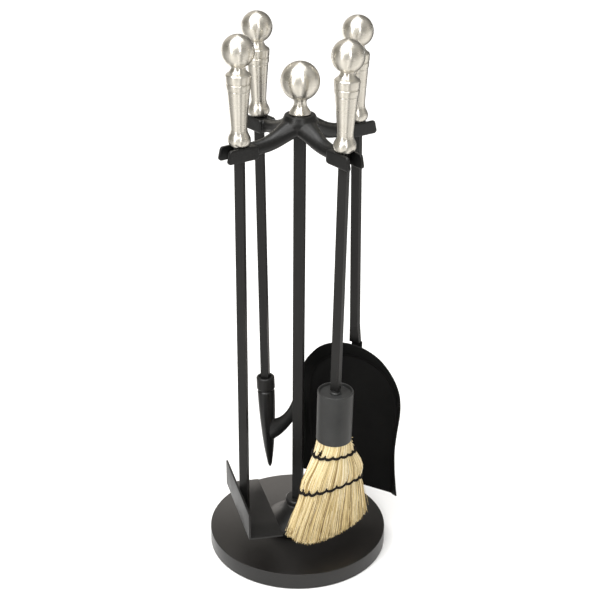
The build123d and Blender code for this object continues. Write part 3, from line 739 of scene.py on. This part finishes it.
def strands(name, count, inner, seed, fat=(0.34, 0.52), loose=1.0):
    """Closed tapered fibres that follow the bundle from inside the ferrule to the cut ends."""
    g = np.random.default_rng(seed)
    rings, sides = 15, 5
    verts = np.zeros((count, rings, sides, 3))
    tips = np.zeros((count, 2, 3))
    tone = np.zeros(count)
    for i in range(count):
        th = 2 * math.pi * ((seed * 0.137 + i * 0.7548776662 + g.normal(0, 0.0002)) % 1.0)
        tuft = int(round(th / (2 * math.pi) * len(TUFTS))) % len(TUFTS)
        mid = 2 * math.pi * (tuft + TUFT_SHIFT[tuft]) / len(TUFTS)
        off = (th - mid + math.pi) % (2 * math.pi) - math.pi
        rad = math.sqrt(g.uniform(0, 0.72)) if inner else g.uniform(0.90, 1.0)
        a0, b0 = rad * math.cos(th), rad * math.sin(th)
        wander_a, wander_b = g.normal(0, 0.030), g.normal(0, 0.07)
        end_s = -9.0 + 66 * a0
        z_end = float(cut_height(end_s)) + g.normal(0, 1.5) + (g.exponential(4.0) if g.uniform() < 0.10 else 0)
        if g.uniform() < 0.03:
            z_end -= g.uniform(1.0, 3.5)
        z = np.concatenate([np.linspace(238.0, 188.0, 3), np.linspace(180.0, z_end, rings - 3)])
        t = np.clip((190.0 - z) / (190.0 - z_end), 0, 1)
        wave = g.normal(0, 0.010) * np.sin(t * g.uniform(3, 9) + g.uniform(0, 6)) * t
        gather = off * (1.0 - TUFT_PULL[tuft] * np.clip(t * 1.6, 0.25, 1.0))
        a = rad * np.cos(mid + gather) + (wander_a * t * t + wave) * loose
        b = rad * np.sin(mid + gather) + (wander_b * t * t + wave * g.uniform(-2, 2)) * loose
        norm = np.sqrt(a * a + b * b)
        lim = 1.0 + 0.03 * t * loose
        scale = np.where(norm > lim, lim / norm, 1.0)
        c = fan(a * scale, b * scale, z)
        d = np.gradient(c, axis=0)
        d /= np.linalg.norm(d, axis=1)[:, None]
        e1 = np.cross(d, N)
        e1 /= np.linalg.norm(e1, axis=1)[:, None]
        e2 = np.cross(d, e1)
        r0 = g.uniform(*fat)
        r = r0 * (1.0 - 0.30 * t ** 2)
        ph = g.uniform(0, 2 * math.pi)
        for k in range(sides):
            ang = ph + 2 * math.pi * k / sides
            verts[i, :, k] = c + (e1 * math.cos(ang) + e2 * math.sin(ang)) * r[:, None]
        tips[i, 0] = c[0] - d[0] * 0.3
        tips[i, 1] = c[-1] + d[-1] * 0.35
        # inner fibres are made 0.24 darker: painted shade for the inside of the bundle
        tone[i] = np.clip((0.59 + 0.30 * QUANTILE.inv_cdf(min(max((seed * 0.291 + i * 0.5698402910) % 1.0, 0.01), 0.99))) + TUFTS[tuft] - (0.24 if inner else 0.0) - (0.34 if g.uniform() < 0.10 else 0.0), 0, 1)
    allv = np.concatenate([verts.reshape(count, -1, 3), tips], axis=1).reshape(-1, 3) * MM
    per = rings * sides + 2
    quads, tris = [], []
    for j in range(rings - 1):
        for k in range(sides):
            m = (k + 1) % sides
            quads.append((j * sides + k, j * sides + m, (j + 1) * sides + m, (j + 1) * sides + k))
    for k in range(sides):
        m = (k + 1) % sides
        tris.append((m, k, rings * sides))
        tris.append(((rings - 1) * sides + k, (rings - 1) * sides + m, rings * sides + 1))
    q, tr = np.array(quads), np.array(tris)
    offs = (np.arange(count) * per)[:, None, None]
    q_all = (q[None] + offs).reshape(-1, 4)
    t_all = (tr[None] + offs).reshape(-1, 3)
    me = bpy.data.meshes.new(name)
    me.vertices.add(len(allv))
    me.vertices.foreach_set("co", allv.astype(np.float32).ravel())
    loops = np.concatenate([q_all.ravel(), t_all.ravel()])
    me.loops.add(len(loops))
    me.loops.foreach_set("vertex_index", loops.astype(np.int32))
    sizes = np.concatenate([np.full(len(q_all), 4), np.full(len(t_all), 3)])
    me.polygons.add(len(sizes))
    me.polygons.foreach_set("loop_start", np.concatenate([[0], np.cumsum(sizes)[:-1]]).astype(np.int32))
    me.polygons.foreach_set("loop_total", sizes.astype(np.int32))
    me.update(calc_edges=True)
    me.validate()
    at = me.attributes.new("tone", "FLOAT", "POINT")
    # the cut ends are a little browner
    tt = np.repeat(tone, per).reshape(count, per)
    along = np.concatenate([np.repeat(np.linspace(0, 1, rings), sides), [0, 1]])
    tt = np.clip(tt + 0.04 - 0.17 * along[None] ** 2, 0, 1)
    at.data.foreach_set("value", tt.astype(np.float32).ravel())
    me.shade_smooth()
    ob = bpy.data.objects.new(name, me)
    scene.collection.objects.link(ob)
    me.materials.append(BRISTLE)
    bm = bmesh.new()
    bm.from_mesh(me)
    bmesh.ops.recalc_face_normals(bm, faces=bm.faces)
    bm.to_mesh(me)
    bm.free()
    return ob


def core_mesh():
    """Solid heart of the bundle, hidden among the fibres; its dark colour is painted shade."""
    segs, verts, faces = 48, [], []
    zs = np.concatenate([[244.0, 200.0, 188.0], np.linspace(180, 66, 20)])
    ring_i = []
    for z in zs:
        th = np.linspace(0, 2 * math.pi, segs, endpoint=False)
        zz = np.maximum(z, 0)
        a = 0.86 * np.cos(th)
        b = 0.80 * np.sin(th)
        low = cut_height(-9.0 + 66 * a) + 7.0
        zt = np.where(zz < 120, zz + np.clip(low - 62, 0, 40) * np.clip((120 - zz) / 54.0, 0, 1), zz)
        ring_i.append(len(verts))
        verts += [tuple(p * MM) for p in fan(a, b, zt)]
    for r0, r1 in zip(ring_i[:-1], ring_i[1:]):
        for k in range(segs):
            j = (k + 1) % segs
            faces.append((r0 + k, r0 + j, r1 + j, r1 + k))
    faces.append(tuple(range(segs)))
    faces.append(tuple(reversed(range(ring_i[-1], ring_i[-1] + segs))))
    ob = mesh_object("brush_core", verts, faces, CORE)
    bm = bmesh.new()
    bm.from_mesh(ob.data)
    bmesh.ops.recalc_face_normals(bm, faces=bm.faces)
    bm.to_mesh(ob.data)
    bm.free()
    return ob


core = core_mesh()
finish_piece(core, "brush", "bristle", "brush_bristles")
OUTER = [strands(f"brush_fibres_{k}", 1080, False, 300 + k, fat=(0.28, 0.58)) for k in range(4)]
INNER = [strands("brush_fibres_4", 900, True, 400, fat=(0.28, 0.46))]
STRAY = [strands("brush_fibres_5", 90, False, 500, fat=(0.20, 0.32), loose=3.2)]
for ob in OUTER + INNER + STRAY:
    finish_piece(ob, "brush", "bristle", "brush_bristles")


def tube(name, path, radius, mat, closed, sides=12, ply=0.0, pitch=3.2):
    """Closed tube along path (mm); ply adds the ridges of a two-ply twist."""
    p = np.array(path, float)
    n = len(p)
    if closed:
        d = np.roll(p, -1, 0) - np.roll(p, 1, 0)
    else:
        d = np.gradient(p, axis=0)
    d /= np.linalg.norm(d, axis=1)[:, None]
    step = np.linalg.norm(np.diff(p, axis=0), axis=1)
    run = np.concatenate([[0], np.cumsum(step)])
    total = run[-1] + (np.linalg.norm(p[0] - p[-1]) if closed else 0)
    turns = max(1, round(total / pitch)) if closed else total / pitch
    # rotation-minimising frame
    e = np.zeros_like(p)
    ref = np.array([0.0, 0.0, 1.0]) if abs(d[0][2]) < 0.9 else np.array([1.0, 0.0, 0.0])
    e[0] = np.cross(d[0], ref)
    e[0] /= np.linalg.norm(e[0])
    for i in range(1, n):
        v = e[i - 1] - d[i] * (e[i - 1] @ d[i])
        e[i] = v / np.linalg.norm(v)
    twist = 0.0
    if closed:
        v = e[-1] - d[0] * (e[-1] @ d[0])
        v /= np.linalg.norm(v)
        twist = math.atan2(float(np.cross(e[0], v) @ d[0]), float(e[0] @ v))
    verts, faces = [], []
    for i in range(n):
        f = np.cross(d[i], e[i])
        back = -twist * run[i] / max(total, 1e-6)
        for k in range(sides):
            ang = 2 * math.pi * k / sides + back
            r = radius * (1 + ply * (abs(math.cos(ang - math.pi * 2 * turns * run[i] / max(total, 1e-6))) - 0.6))
            verts.append(tuple((p[i] + (e[i] * math.cos(ang) + f * math.sin(ang)) * r) * MM))
    m = n if closed else n - 1
    for i in range(m):
        j = (i + 1) % n
        for k in range(sides):
            q = (k + 1) % sides
            faces.append((i * sides + k, i * sides + q, j * sides + q, j * sides + k))
    if not closed:
        faces.append(tuple(reversed(range(sides))))
        faces.append(tuple(range((n - 1) * sides, n * sides)))
    ob = mesh_object(name, verts, faces, mat)
    bm = bmesh.new()
    bm.from_mesh(ob.data)
    bmesh.ops.recalc_face_normals(bm, faces=bm.faces)
    bm.to_mesh(ob.data)
    bm.free()
    return ob


def stray(name, a, b, z, reach_w, reach_z, bend, radius=0.40, shade=0.88):
    """One loose fibre that leaves the bundle at (a, b, z) and curls outwards."""
    p0 = np.array(fan(a * 0.9, b * 0.9, z + 3.0))
    pts = []
    for t in np.linspace(0, 1, 12):
        pts.append(p0 + W * (reach_w * t + bend * math.sin(math.pi * t)) + np.array([0, 0, 1]) * (reach_z * t - abs(bend) * 0.5 * math.sin(math.pi * t)) + N * (1.2 * math.sin(2.2 * t)))
    ob = tube(name, pts, radius, BRISTLE, False, 6)
    at = ob.data.attributes.new("tone", "FLOAT", "POINT")
    at.data.foreach_set("value", np.full(len(ob.data.vertices), shade, np.float32))
    return finish_piece(ob, "brush", "bristle")


def surface(theta, row, count, out=0.0, lift=0.0):
    """Point on the bundle's skin at a row of stitching."""
    a, b = math.cos(theta), math.sin(theta)
    z = 150.0
    for _ in range(6):
        shift, half, thick = level(z)
        z = float(np.interp(shift + half * a, row[:, 0], row[:, 1]))
    z += lift
    p = fan(a, b, z)
    shift, half, thick = level(z)
    nrm = W * (a / max(half, 1)) + N * (b / max(thick, 1))
    nrm = nrm / np.linalg.norm(nrm)
    return np.array(p) + nrm * out, nrm, z


def stitch_row(name, row, count, seed, deep=1.0):
    """A waxed twine that runs round the bundle in shallow scallops, with a short loop over it at each stitch."""
    g = np.random.default_rng(seed)
    pts = []
    steps = count * 14
    for i in range(steps):
        th = 2 * math.pi * i / steps
        s = float(lobe(th, count))
        p, nrm, _ = surface(th, row, count, out=1.30 + 0.15 * s, lift=deep * (1.5 - 2.8 * s ** 0.7))
        pts.append(p)
    made = [tube(name, pts, 1.70, TWINE, True, 12, 0.20, 3.2)]
    for i in range(count):
        th = 2 * math.pi * i / count
        loop = []
        for k in range(7):
            t = k / 6.0
            p, nrm, _ = surface(th + 0.004 * math.sin(t * 5), row, count, out=1.5 - 2.8 * t * t, lift=0.4 + 5.6 * deep * t + g.uniform(-0.1, 0.1))
            loop.append(p)
        first, nrm, _ = surface(th, row, count, out=-1.6, lift=-1.6)
        loop.insert(0, first)
        made.append(tube(f"{name}_loop_{i:02d}", loop, 1.12, TWINE, False, 10, 0.18, 2.8))
    return made


for k, (row, count) in enumerate(((ROW1, LOBES1), (ROW2, LOBES2))):
    for ob in stitch_row(f"brush_twine_{k + 1}", row, count, 70 + k, deep=(0.55, 0.9)[k]):
        finish_piece(ob, "brush", "twine", "brush_stitching")

for k, (a, b, z, rw, rz, bend) in enumerate((
    (0.98, 0.15, 186.0, 8.5, -4.5, 1.6), (0.98, 0.22, 184.0, 7.0, -7.5, 1.2), (0.97, 0.05, 188.0, 6.0, 1.0, 1.8), (0.99, 0.30, 180.0, 6.5, -9.0, 0.8),
    (-0.99, 0.18, 98.0, -5.0, -15.0, -1.0), (-0.99, 0.10, 92.0, -7.0, -9.0, -1.4), (0.99, 0.1, 120.0, 4.5, -12.0, 1.0), (0.98, 0.2, 104.0, 5.0, -13.0, 0.7),
    (-0.99, 0.1, 150.0, -3.0, -14.0, -0.8),
)):
    stray(f"brush_stray_{k}", a, b, z, rw, rz, bend, shade=0.55 + 0.05 * (k % 5))

# knot and two short tails where the upper row starts
kp, kn, kz = surface(math.radians(163), ROW1, LOBES1, out=1.1, lift=4.6)
knot = []
for i in range(40):
    t = 2 * math.pi * i / 40
    knot.append(kp + W * (1.7 * math.cos(t) + 0.7 * math.cos(3 * t)) + np.array([0, 0, 1]) * (1.7 * math.sin(t) - 0.7 * math.sin(3 * t)) + kn * (0.6 * math.sin(2 * t)))
finish_piece(tube("brush_knot", knot, 0.75, TWINE, True, 10, 0.18, 2.6), "brush", "twine")
for i, (dx, dz) in enumerate(((-2.0, 4.5), (1.6, 5.4))):
    tail = [kp + W * (dx * t) + np.array([0, 0, 1]) * (dz * t - 0.5) + kn * (0.8 * math.sin(2.5 * t)) for t in np.linspace(0, 1, 7)]
    finish_piece(tube(f"brush_tail_{i}", tail, 0.6, TWINE, False, 10, 0.18, 2.6), "brush", "twine")

# ---------------------------------------------------------------- shovel pan
PAN_AZ = math.radians(-19.0)
PW = Vector((math.cos(PAN_AZ), math.sin(PAN_AZ), 0))
PN = Vector((math.sin(PAN_AZ), -math.cos(PAN_AZ), 0))
PAN_O = axis_point("shovel", 160.0)
PAN_MID, PAN_DEEP, PAN_T = -2.4, 12.0, 1.6
RIM = [
    (70.2, 58.5), (67.8, 78.7), (65.8, 101.0), (65.0, 127.0), (67.1, 153.6), (70.0, 179.8),
    (70.0, 197.4), (67.0, 213.6), (58.0, 231.8), (41.9, 249.6), (22.0, 259.8), (0, 263.2),
]
FLOOR = [
    (62.0, 53.0), (61.4, 74.0), (61.1, 96.0), (61.4, 124.0), (62.9, 150.0), (63.8, 174.0),
    (62.4, 193.0), (57.2, 210.0), (47.8, 224.5), (33.5, 235.8), (17.0, 242.2), (0, 244.2),
]


def outline(half, n=96):
    """Evenly spread points of a half outline and its mirror image: lower left corner, crown, lower right corner."""
    full = [(-x, z) for x, z in half] + [(x, z) for x, z in reversed(half[:-1])]
    c = np.array(curve(full, 12))
    run = np.concatenate([[0], np.cumsum(np.linalg.norm(np.diff(c, axis=0), axis=1))])
    t = np.linspace(0, run[-1], 2 * n + 1)
    return np.stack([np.interp(t, run, c[:, 0]), np.interp(t, run, c[:, 1])], 1)


def pan_mesh():
    rim, flo = outline(RIM), outline(FLOOR)
    n = len(rim)
    rows = []
    sk_top = 185.0
    mid_z = np.minimum(np.maximum(flo[:, 1], 52.0), sk_top)
    centre = np.stack([np.zeros(n), mid_z], 1)
    # across: middle line, floor, fillet, wall, rolled edge
    for v in np.linspace(0, 0.93, 14):
        p = centre * (1 - v) + flo * v
        rows.append((p, np.zeros(n)))
    for v in np.linspace(0, 1, 7)[1:]:
        ang = v * math.pi / 2 * 0.72
        p = centre * (1 - 0.93) + flo * 0.93
        q = p + (flo - p) * (math.sin(ang) / math.sin(math.pi / 2 * 0.72)) * 0.95
        rows.append((q, np.full(n, 2.1 * (1 - math.cos(ang)) / (1 - math.cos(math.pi / 2 * 0.72)))))
    start, h0 = rows[-1]
    for v in np.linspace(0, 1, 8)[1:]:
        rows.append((start * (1 - v) + rim * v, h0 * (1 - v) + PAN_DEEP * 0.96 * v))
    out = np.stack([np.gradient(rim[:, 1]), -np.gradient(rim[:, 0])], 1)
    out /= np.linalg.norm(out, axis=1)[:, None]
    if out[n // 2][1] < 0:
        out = -out
    for k in range(1, 4):
        a = k / 3 * math.pi * 0.5
        rows.append((rim + out * 0.9 * math.sin(a), np.full(n, PAN_DEEP * 0.96 + 0.5 * (1 - math.cos(a)))))
    m = len(rows)
    verts, faces = [], []
    for p, h in rows:
        for (x, z), d in zip(p, h):
            q = Vector((PAN_O.x, PAN_O.y, 0)) + PW * (PAN_MID + x) + PN * float(d) + Vector((0, 0, z))
            verts.append(tuple(q * MM))
    for i in range(m - 1):
        for k in range(n - 1):
            faces.append((i * n + k, i * n + k + 1, (i + 1) * n + k + 1, (i + 1) * n + k))
    return verts, faces, n


pv, pf, pn = pan_mesh()
pan = mesh_object("shovel_scoop", pv, pf, SHEET)
bm = bmesh.new()
bm.from_mesh(pan.data)
bmesh.ops.remove_doubles(bm, verts=bm.verts, dist=0.00005)
bmesh.ops.recalc_face_normals(bm, faces=bm.faces)
front = sum((f.normal.dot(PN) * f.calc_area() for f in bm.faces))
if front < 0:
    bmesh.ops.reverse_faces(bm, faces=bm.faces)
bm.to_mesh(pan.data)
bm.free()
sol = pan.modifiers.new("thickness", "SOLIDIFY")
sol.thickness, sol.offset, sol.use_rim = PAN_T * MM, -1.0, True
bev = pan.modifiers.new("edge", "BEVEL")
bev.width, bev.segments, bev.limit_method, bev.angle_limit = 0.0004, 2, "ANGLE", math.radians(50)
finish_piece(pan, "shovel", "black_sheet", "shovel_pan")
paint("shovel_tang", BAR, 0.5, 2)

# ---------------------------------------------------------------- floor, lights
fm, nt, bsdf = new_material("floor")
bsdf.inputs["Base Color"].default_value = (0.93, 0.93, 0.928, 1)
bsdf.inputs["Roughness"].default_value = 0.85
bsdf.inputs["Specular IOR Level"].default_value = 0.15
me = bpy.data.meshes.new("floor")
S = 14.0
me.from_pydata([(-S, -S, 0), (S, -S, 0), (S, S, 0), (-S, S, 0)], [], [(0, 1, 2, 3)])
floor = bpy.data.objects.new("floor", me)
me.materials.append(fm)
scene.collection.objects.link(floor)


def area(name, where, look, size, power, color=(1, 1, 1), spread=180):
    d = bpy.data.lights.new(name, "AREA")
    d.shape, d.size, d.size_y, d.energy, d.color = "RECTANGLE", size[0], size[1], power, color
    d.spread = math.radians(spread)
    ob = bpy.data.objects.new(name, d)
    scene.collection.objects.link(ob)
    ob.location = where
    ob.rotation_mode = "QUATERNION"
    ob.rotation_quaternion = (Vector(look) - Vector(where)).to_track_quat("-Z", "Y")
    return ob


area("key_left", (-1.05, -1.55, 1.55), (0, 0, 0.42), (0.35, 1.5), 13, (1.0, 0.985, 0.96))
area("key_right", (0.80, -1.70, 1.75), (0, 0, 0.45), (0.28, 1.4), 9, (1.0, 0.99, 0.975))
area("top", (0.1, 0.25, 2.6), (0, 0, 0.4), (1.3, 1.3), 14)

sun_data = bpy.data.lights.new("overhead", "SUN")
sun_data.energy, sun_data.angle = 2.85, math.radians(60)
sun = bpy.data.objects.new("overhead", sun_data)
scene.collection.objects.link(sun)
sun.rotation_mode = "QUATERNION"
sun.rotation_quaternion = (-Vector((-0.24, -0.36, 0.90))).to_track_quat("-Z", "Y")


def reflected_only(ob):
    """A studio card or floor cloth that shows in reflections and nowhere else."""
    ob.visible_camera = ob.visible_diffuse = ob.visible_shadow = ob.visible_transmission = False
    return ob


def azimuth_ramp(nt, vector, stops):
    """Brightness by compass direction, from (degrees, level) stops."""
    xyz = nt.nodes.new("ShaderNodeSeparateXYZ")
    nt.links.new(vector, xyz.inputs[0])
    at = nt.nodes.new("ShaderNodeMath")
    at.operation = "ARCTAN2"
    nt.links.new(xyz.outputs["Y"], at.inputs[0])
    nt.links.new(xyz.outputs["X"], at.inputs[1])
    mr = span(nt, at.outputs[0], 0.0, 1.0, -math.pi, math.pi)
    rp = ramp(nt, [((a + 180.0) / 360.0, (v, v * 0.985, v * 0.96)) for a, v in sorted(stops)])
    nt.links.new(mr.outputs[0], rp.inputs[0])
    return rp.outputs[0]


# the floor cloth: bright and dark strips that run away from the set, as bars and handles mirror them
STRIPS = [
    (-180, 0.30), (-160, 0.38), (-140, 0.58), (-118, 0.70), (-100, 0.62), (-88, 0.60), (-80, 0.92), (-72, 0.60), (-56, 0.16), (-44, 0.60), (-28, 0.62),
    (-12, 0.62), (6, 0.80), (30, 0.70), (50, 0.36), (60, 0.08), (84, 0.03), (102, 0.10), (112, 1.0), (127, 1.15), (146, 1.0), (156, 0.30), (168, 0.22), (180, 0.30),
]
cloth_mat, nt, bsdf = new_material("cloth")
bsdf.inputs["Roughness"].default_value = 1.0
bsdf.inputs["Specular IOR Level"].default_value = 0.0
cloth_tc = nt.nodes.new("ShaderNodeTexCoord")
nt.links.new(azimuth_ramp(nt, cloth_tc.outputs["Object"], STRIPS), bsdf.inputs["Base Color"])
cv, cf = [], []
for r in (0.24, 6.0):
    cv += [(r * math.cos(2 * math.pi * k / 96), r * math.sin(2 * math.pi * k / 96), 0.003) for k in range(96)]
for k in range(96):
    cf.append((k, (k + 1) % 96, 96 + (k + 1) % 96, 96 + k))
me = bpy.data.meshes.new("cloth")
me.from_pydata(cv, [], cf)
me.materials.append(cloth_mat)
cloth = bpy.data.objects.new("cloth", me)
scene.collection.objects.link(cloth)
reflected_only(cloth)


def card(name, corners, color, strength):
    """Glowing card, seen only in reflections."""
    cm = bpy.data.materials.new(name)
    cm.use_nodes = True
    ct = cm.node_tree
    ct.nodes.clear()
    em = ct.nodes.new("ShaderNodeEmission")
    em.inputs["Color"].default_value, em.inputs["Strength"].default_value = (*color, 1), strength
    mo = ct.nodes.new("ShaderNodeOutputMaterial")
    ct.links.new(em.outputs[0], mo.inputs["Surface"])
    me = bpy.data.meshes.new(name)
    me.from_pydata(corners, [], [(0, 1, 2, 3)])
    me.materials.append(cm)
    ob = bpy.data.objects.new(name, me)
    scene.collection.objects.link(ob)
    return reflected_only(ob)


card("card_back", [(-0.36, 0.24, 0.002), (0.03, 0.27, 0.002), (0.03, 0.27, 0.19), (-0.36, 0.24, 0.19)], (1.0, 0.94, 0.88), 1.75)

world = bpy.data.worlds.new("world")
scene.world = world
world.use_nodes = True
wn = world.node_tree
wn.nodes.clear()
wout = wn.nodes.new("ShaderNodeOutputWorld")
bg = wn.nodes.new("ShaderNodeBackground")
tc = wn.nodes.new("ShaderNodeTexCoord")


def lobe_world(direction, inner, outer):
    """1 inside the inner angle of a direction, falling to 0 at the outer one."""
    v = Vector(direction).normalized()
    dot = wn.nodes.new("ShaderNodeVectorMath")
    dot.operation = "DOT_PRODUCT"
    dot.inputs[1].default_value = v
    wn.links.new(tc.outputs["Generated"], dot.inputs[0])
    mr = wn.nodes.new("ShaderNodeMapRange")
    mr.interpolation_type = "SMOOTHSTEP"
    mr.inputs["From Min"].default_value = math.cos(math.radians(outer))
    mr.inputs["From Max"].default_value = math.cos(math.radians(inner))
    wn.links.new(dot.outputs["Value"], mr.inputs["Value"])
    return mr.outputs[0]


sep = wn.nodes.new("ShaderNodeSeparateXYZ")
wn.links.new(tc.outputs["Generated"], sep.inputs[0])
height = wn.nodes.new("ShaderNodeValToRGB")
el = height.color_ramp.elements
el[0].position, el[0].color = 0.0, (0.30, 0.30, 0.30, 1)
el[1].position, el[1].color = 1.0, (0.60, 0.60, 0.60, 1)
for p, c in ((0.50, (0.20, 0.195, 0.185)), (0.60, (0.26, 0.255, 0.245)), (0.74, (0.42, 0.415, 0.40)), (0.86, (0.52, 0.52, 0.51))):
    e = el.new(p)
    e.color = (*c, 1)
half = wn.nodes.new("ShaderNodeMath")
half.operation = "MULTIPLY_ADD"
half.inputs[1].default_value, half.inputs[2].default_value = 0.5, 0.5
wn.links.new(sep.outputs["Z"], half.inputs[0])
wn.links.new(half.outputs[0], height.inputs[0])
color = height.outputs[0]
for direction, inner, outer, col, amount in (
    ((-0.45, 0.86, 0.55), 10, 40, (0.60, 0.57, 0.53), 0.8),        # wall behind, to the left
    ((-0.98, -0.10, 0.05), 10, 36, (0.30, 0.285, 0.24), 0.9),     # duller on the left
    ((0.98, -0.05, 0.05), 6, 30, (0.66, 0.64, 0.60), 0.8),        # and on the right
    ((0.15, -0.98, 0.10), 6, 26, (0.08, 0.078, 0.072), 0.85),      # behind the camera, low
):
    w = lobe_world(direction, inner, outer)
    am = wn.nodes.new("ShaderNodeMath")
    am.operation = "MULTIPLY"
    am.inputs[1].default_value = amount
    wn.links.new(w, am.inputs[0])
    mix = wn.nodes.new("ShaderNodeMix")
    mix.data_type = "RGBA"
    wn.links.new(am.outputs[0], mix.inputs["Factor"])
    wn.links.new(color, mix.inputs["A"])
    mix.inputs["B"].default_value = (*col, 1)
    color = mix.outputs["Result"]
strip = azimuth_ramp(wn, tc.outputs["Generated"], [(a, 0.55 + 0.75 * v) for a, v in STRIPS])
streaked = wn.nodes.new("ShaderNodeMix")
streaked.data_type, streaked.blend_type = "RGBA", "MULTIPLY"
streaked.inputs["Factor"].default_value = 1.0
wn.links.new(color, streaked.inputs["A"])
wn.links.new(strip, streaked.inputs["B"])
color = streaked.outputs["Result"]
path = wn.nodes.new("ShaderNodeLightPath")
see = wn.nodes.new("ShaderNodeMix")
see.data_type = "RGBA"
wn.links.new(path.outputs["Is Camera Ray"], see.inputs["Factor"])
wn.links.new(color, see.inputs["A"])
see.inputs["B"].default_value = (0.97, 0.97, 0.97, 1)
wn.links.new(see.outputs["Result"], bg.inputs["Color"])
bg.inputs["Strength"].default_value = 1.0
wn.links.new(bg.outputs[0], wout.inputs[0])
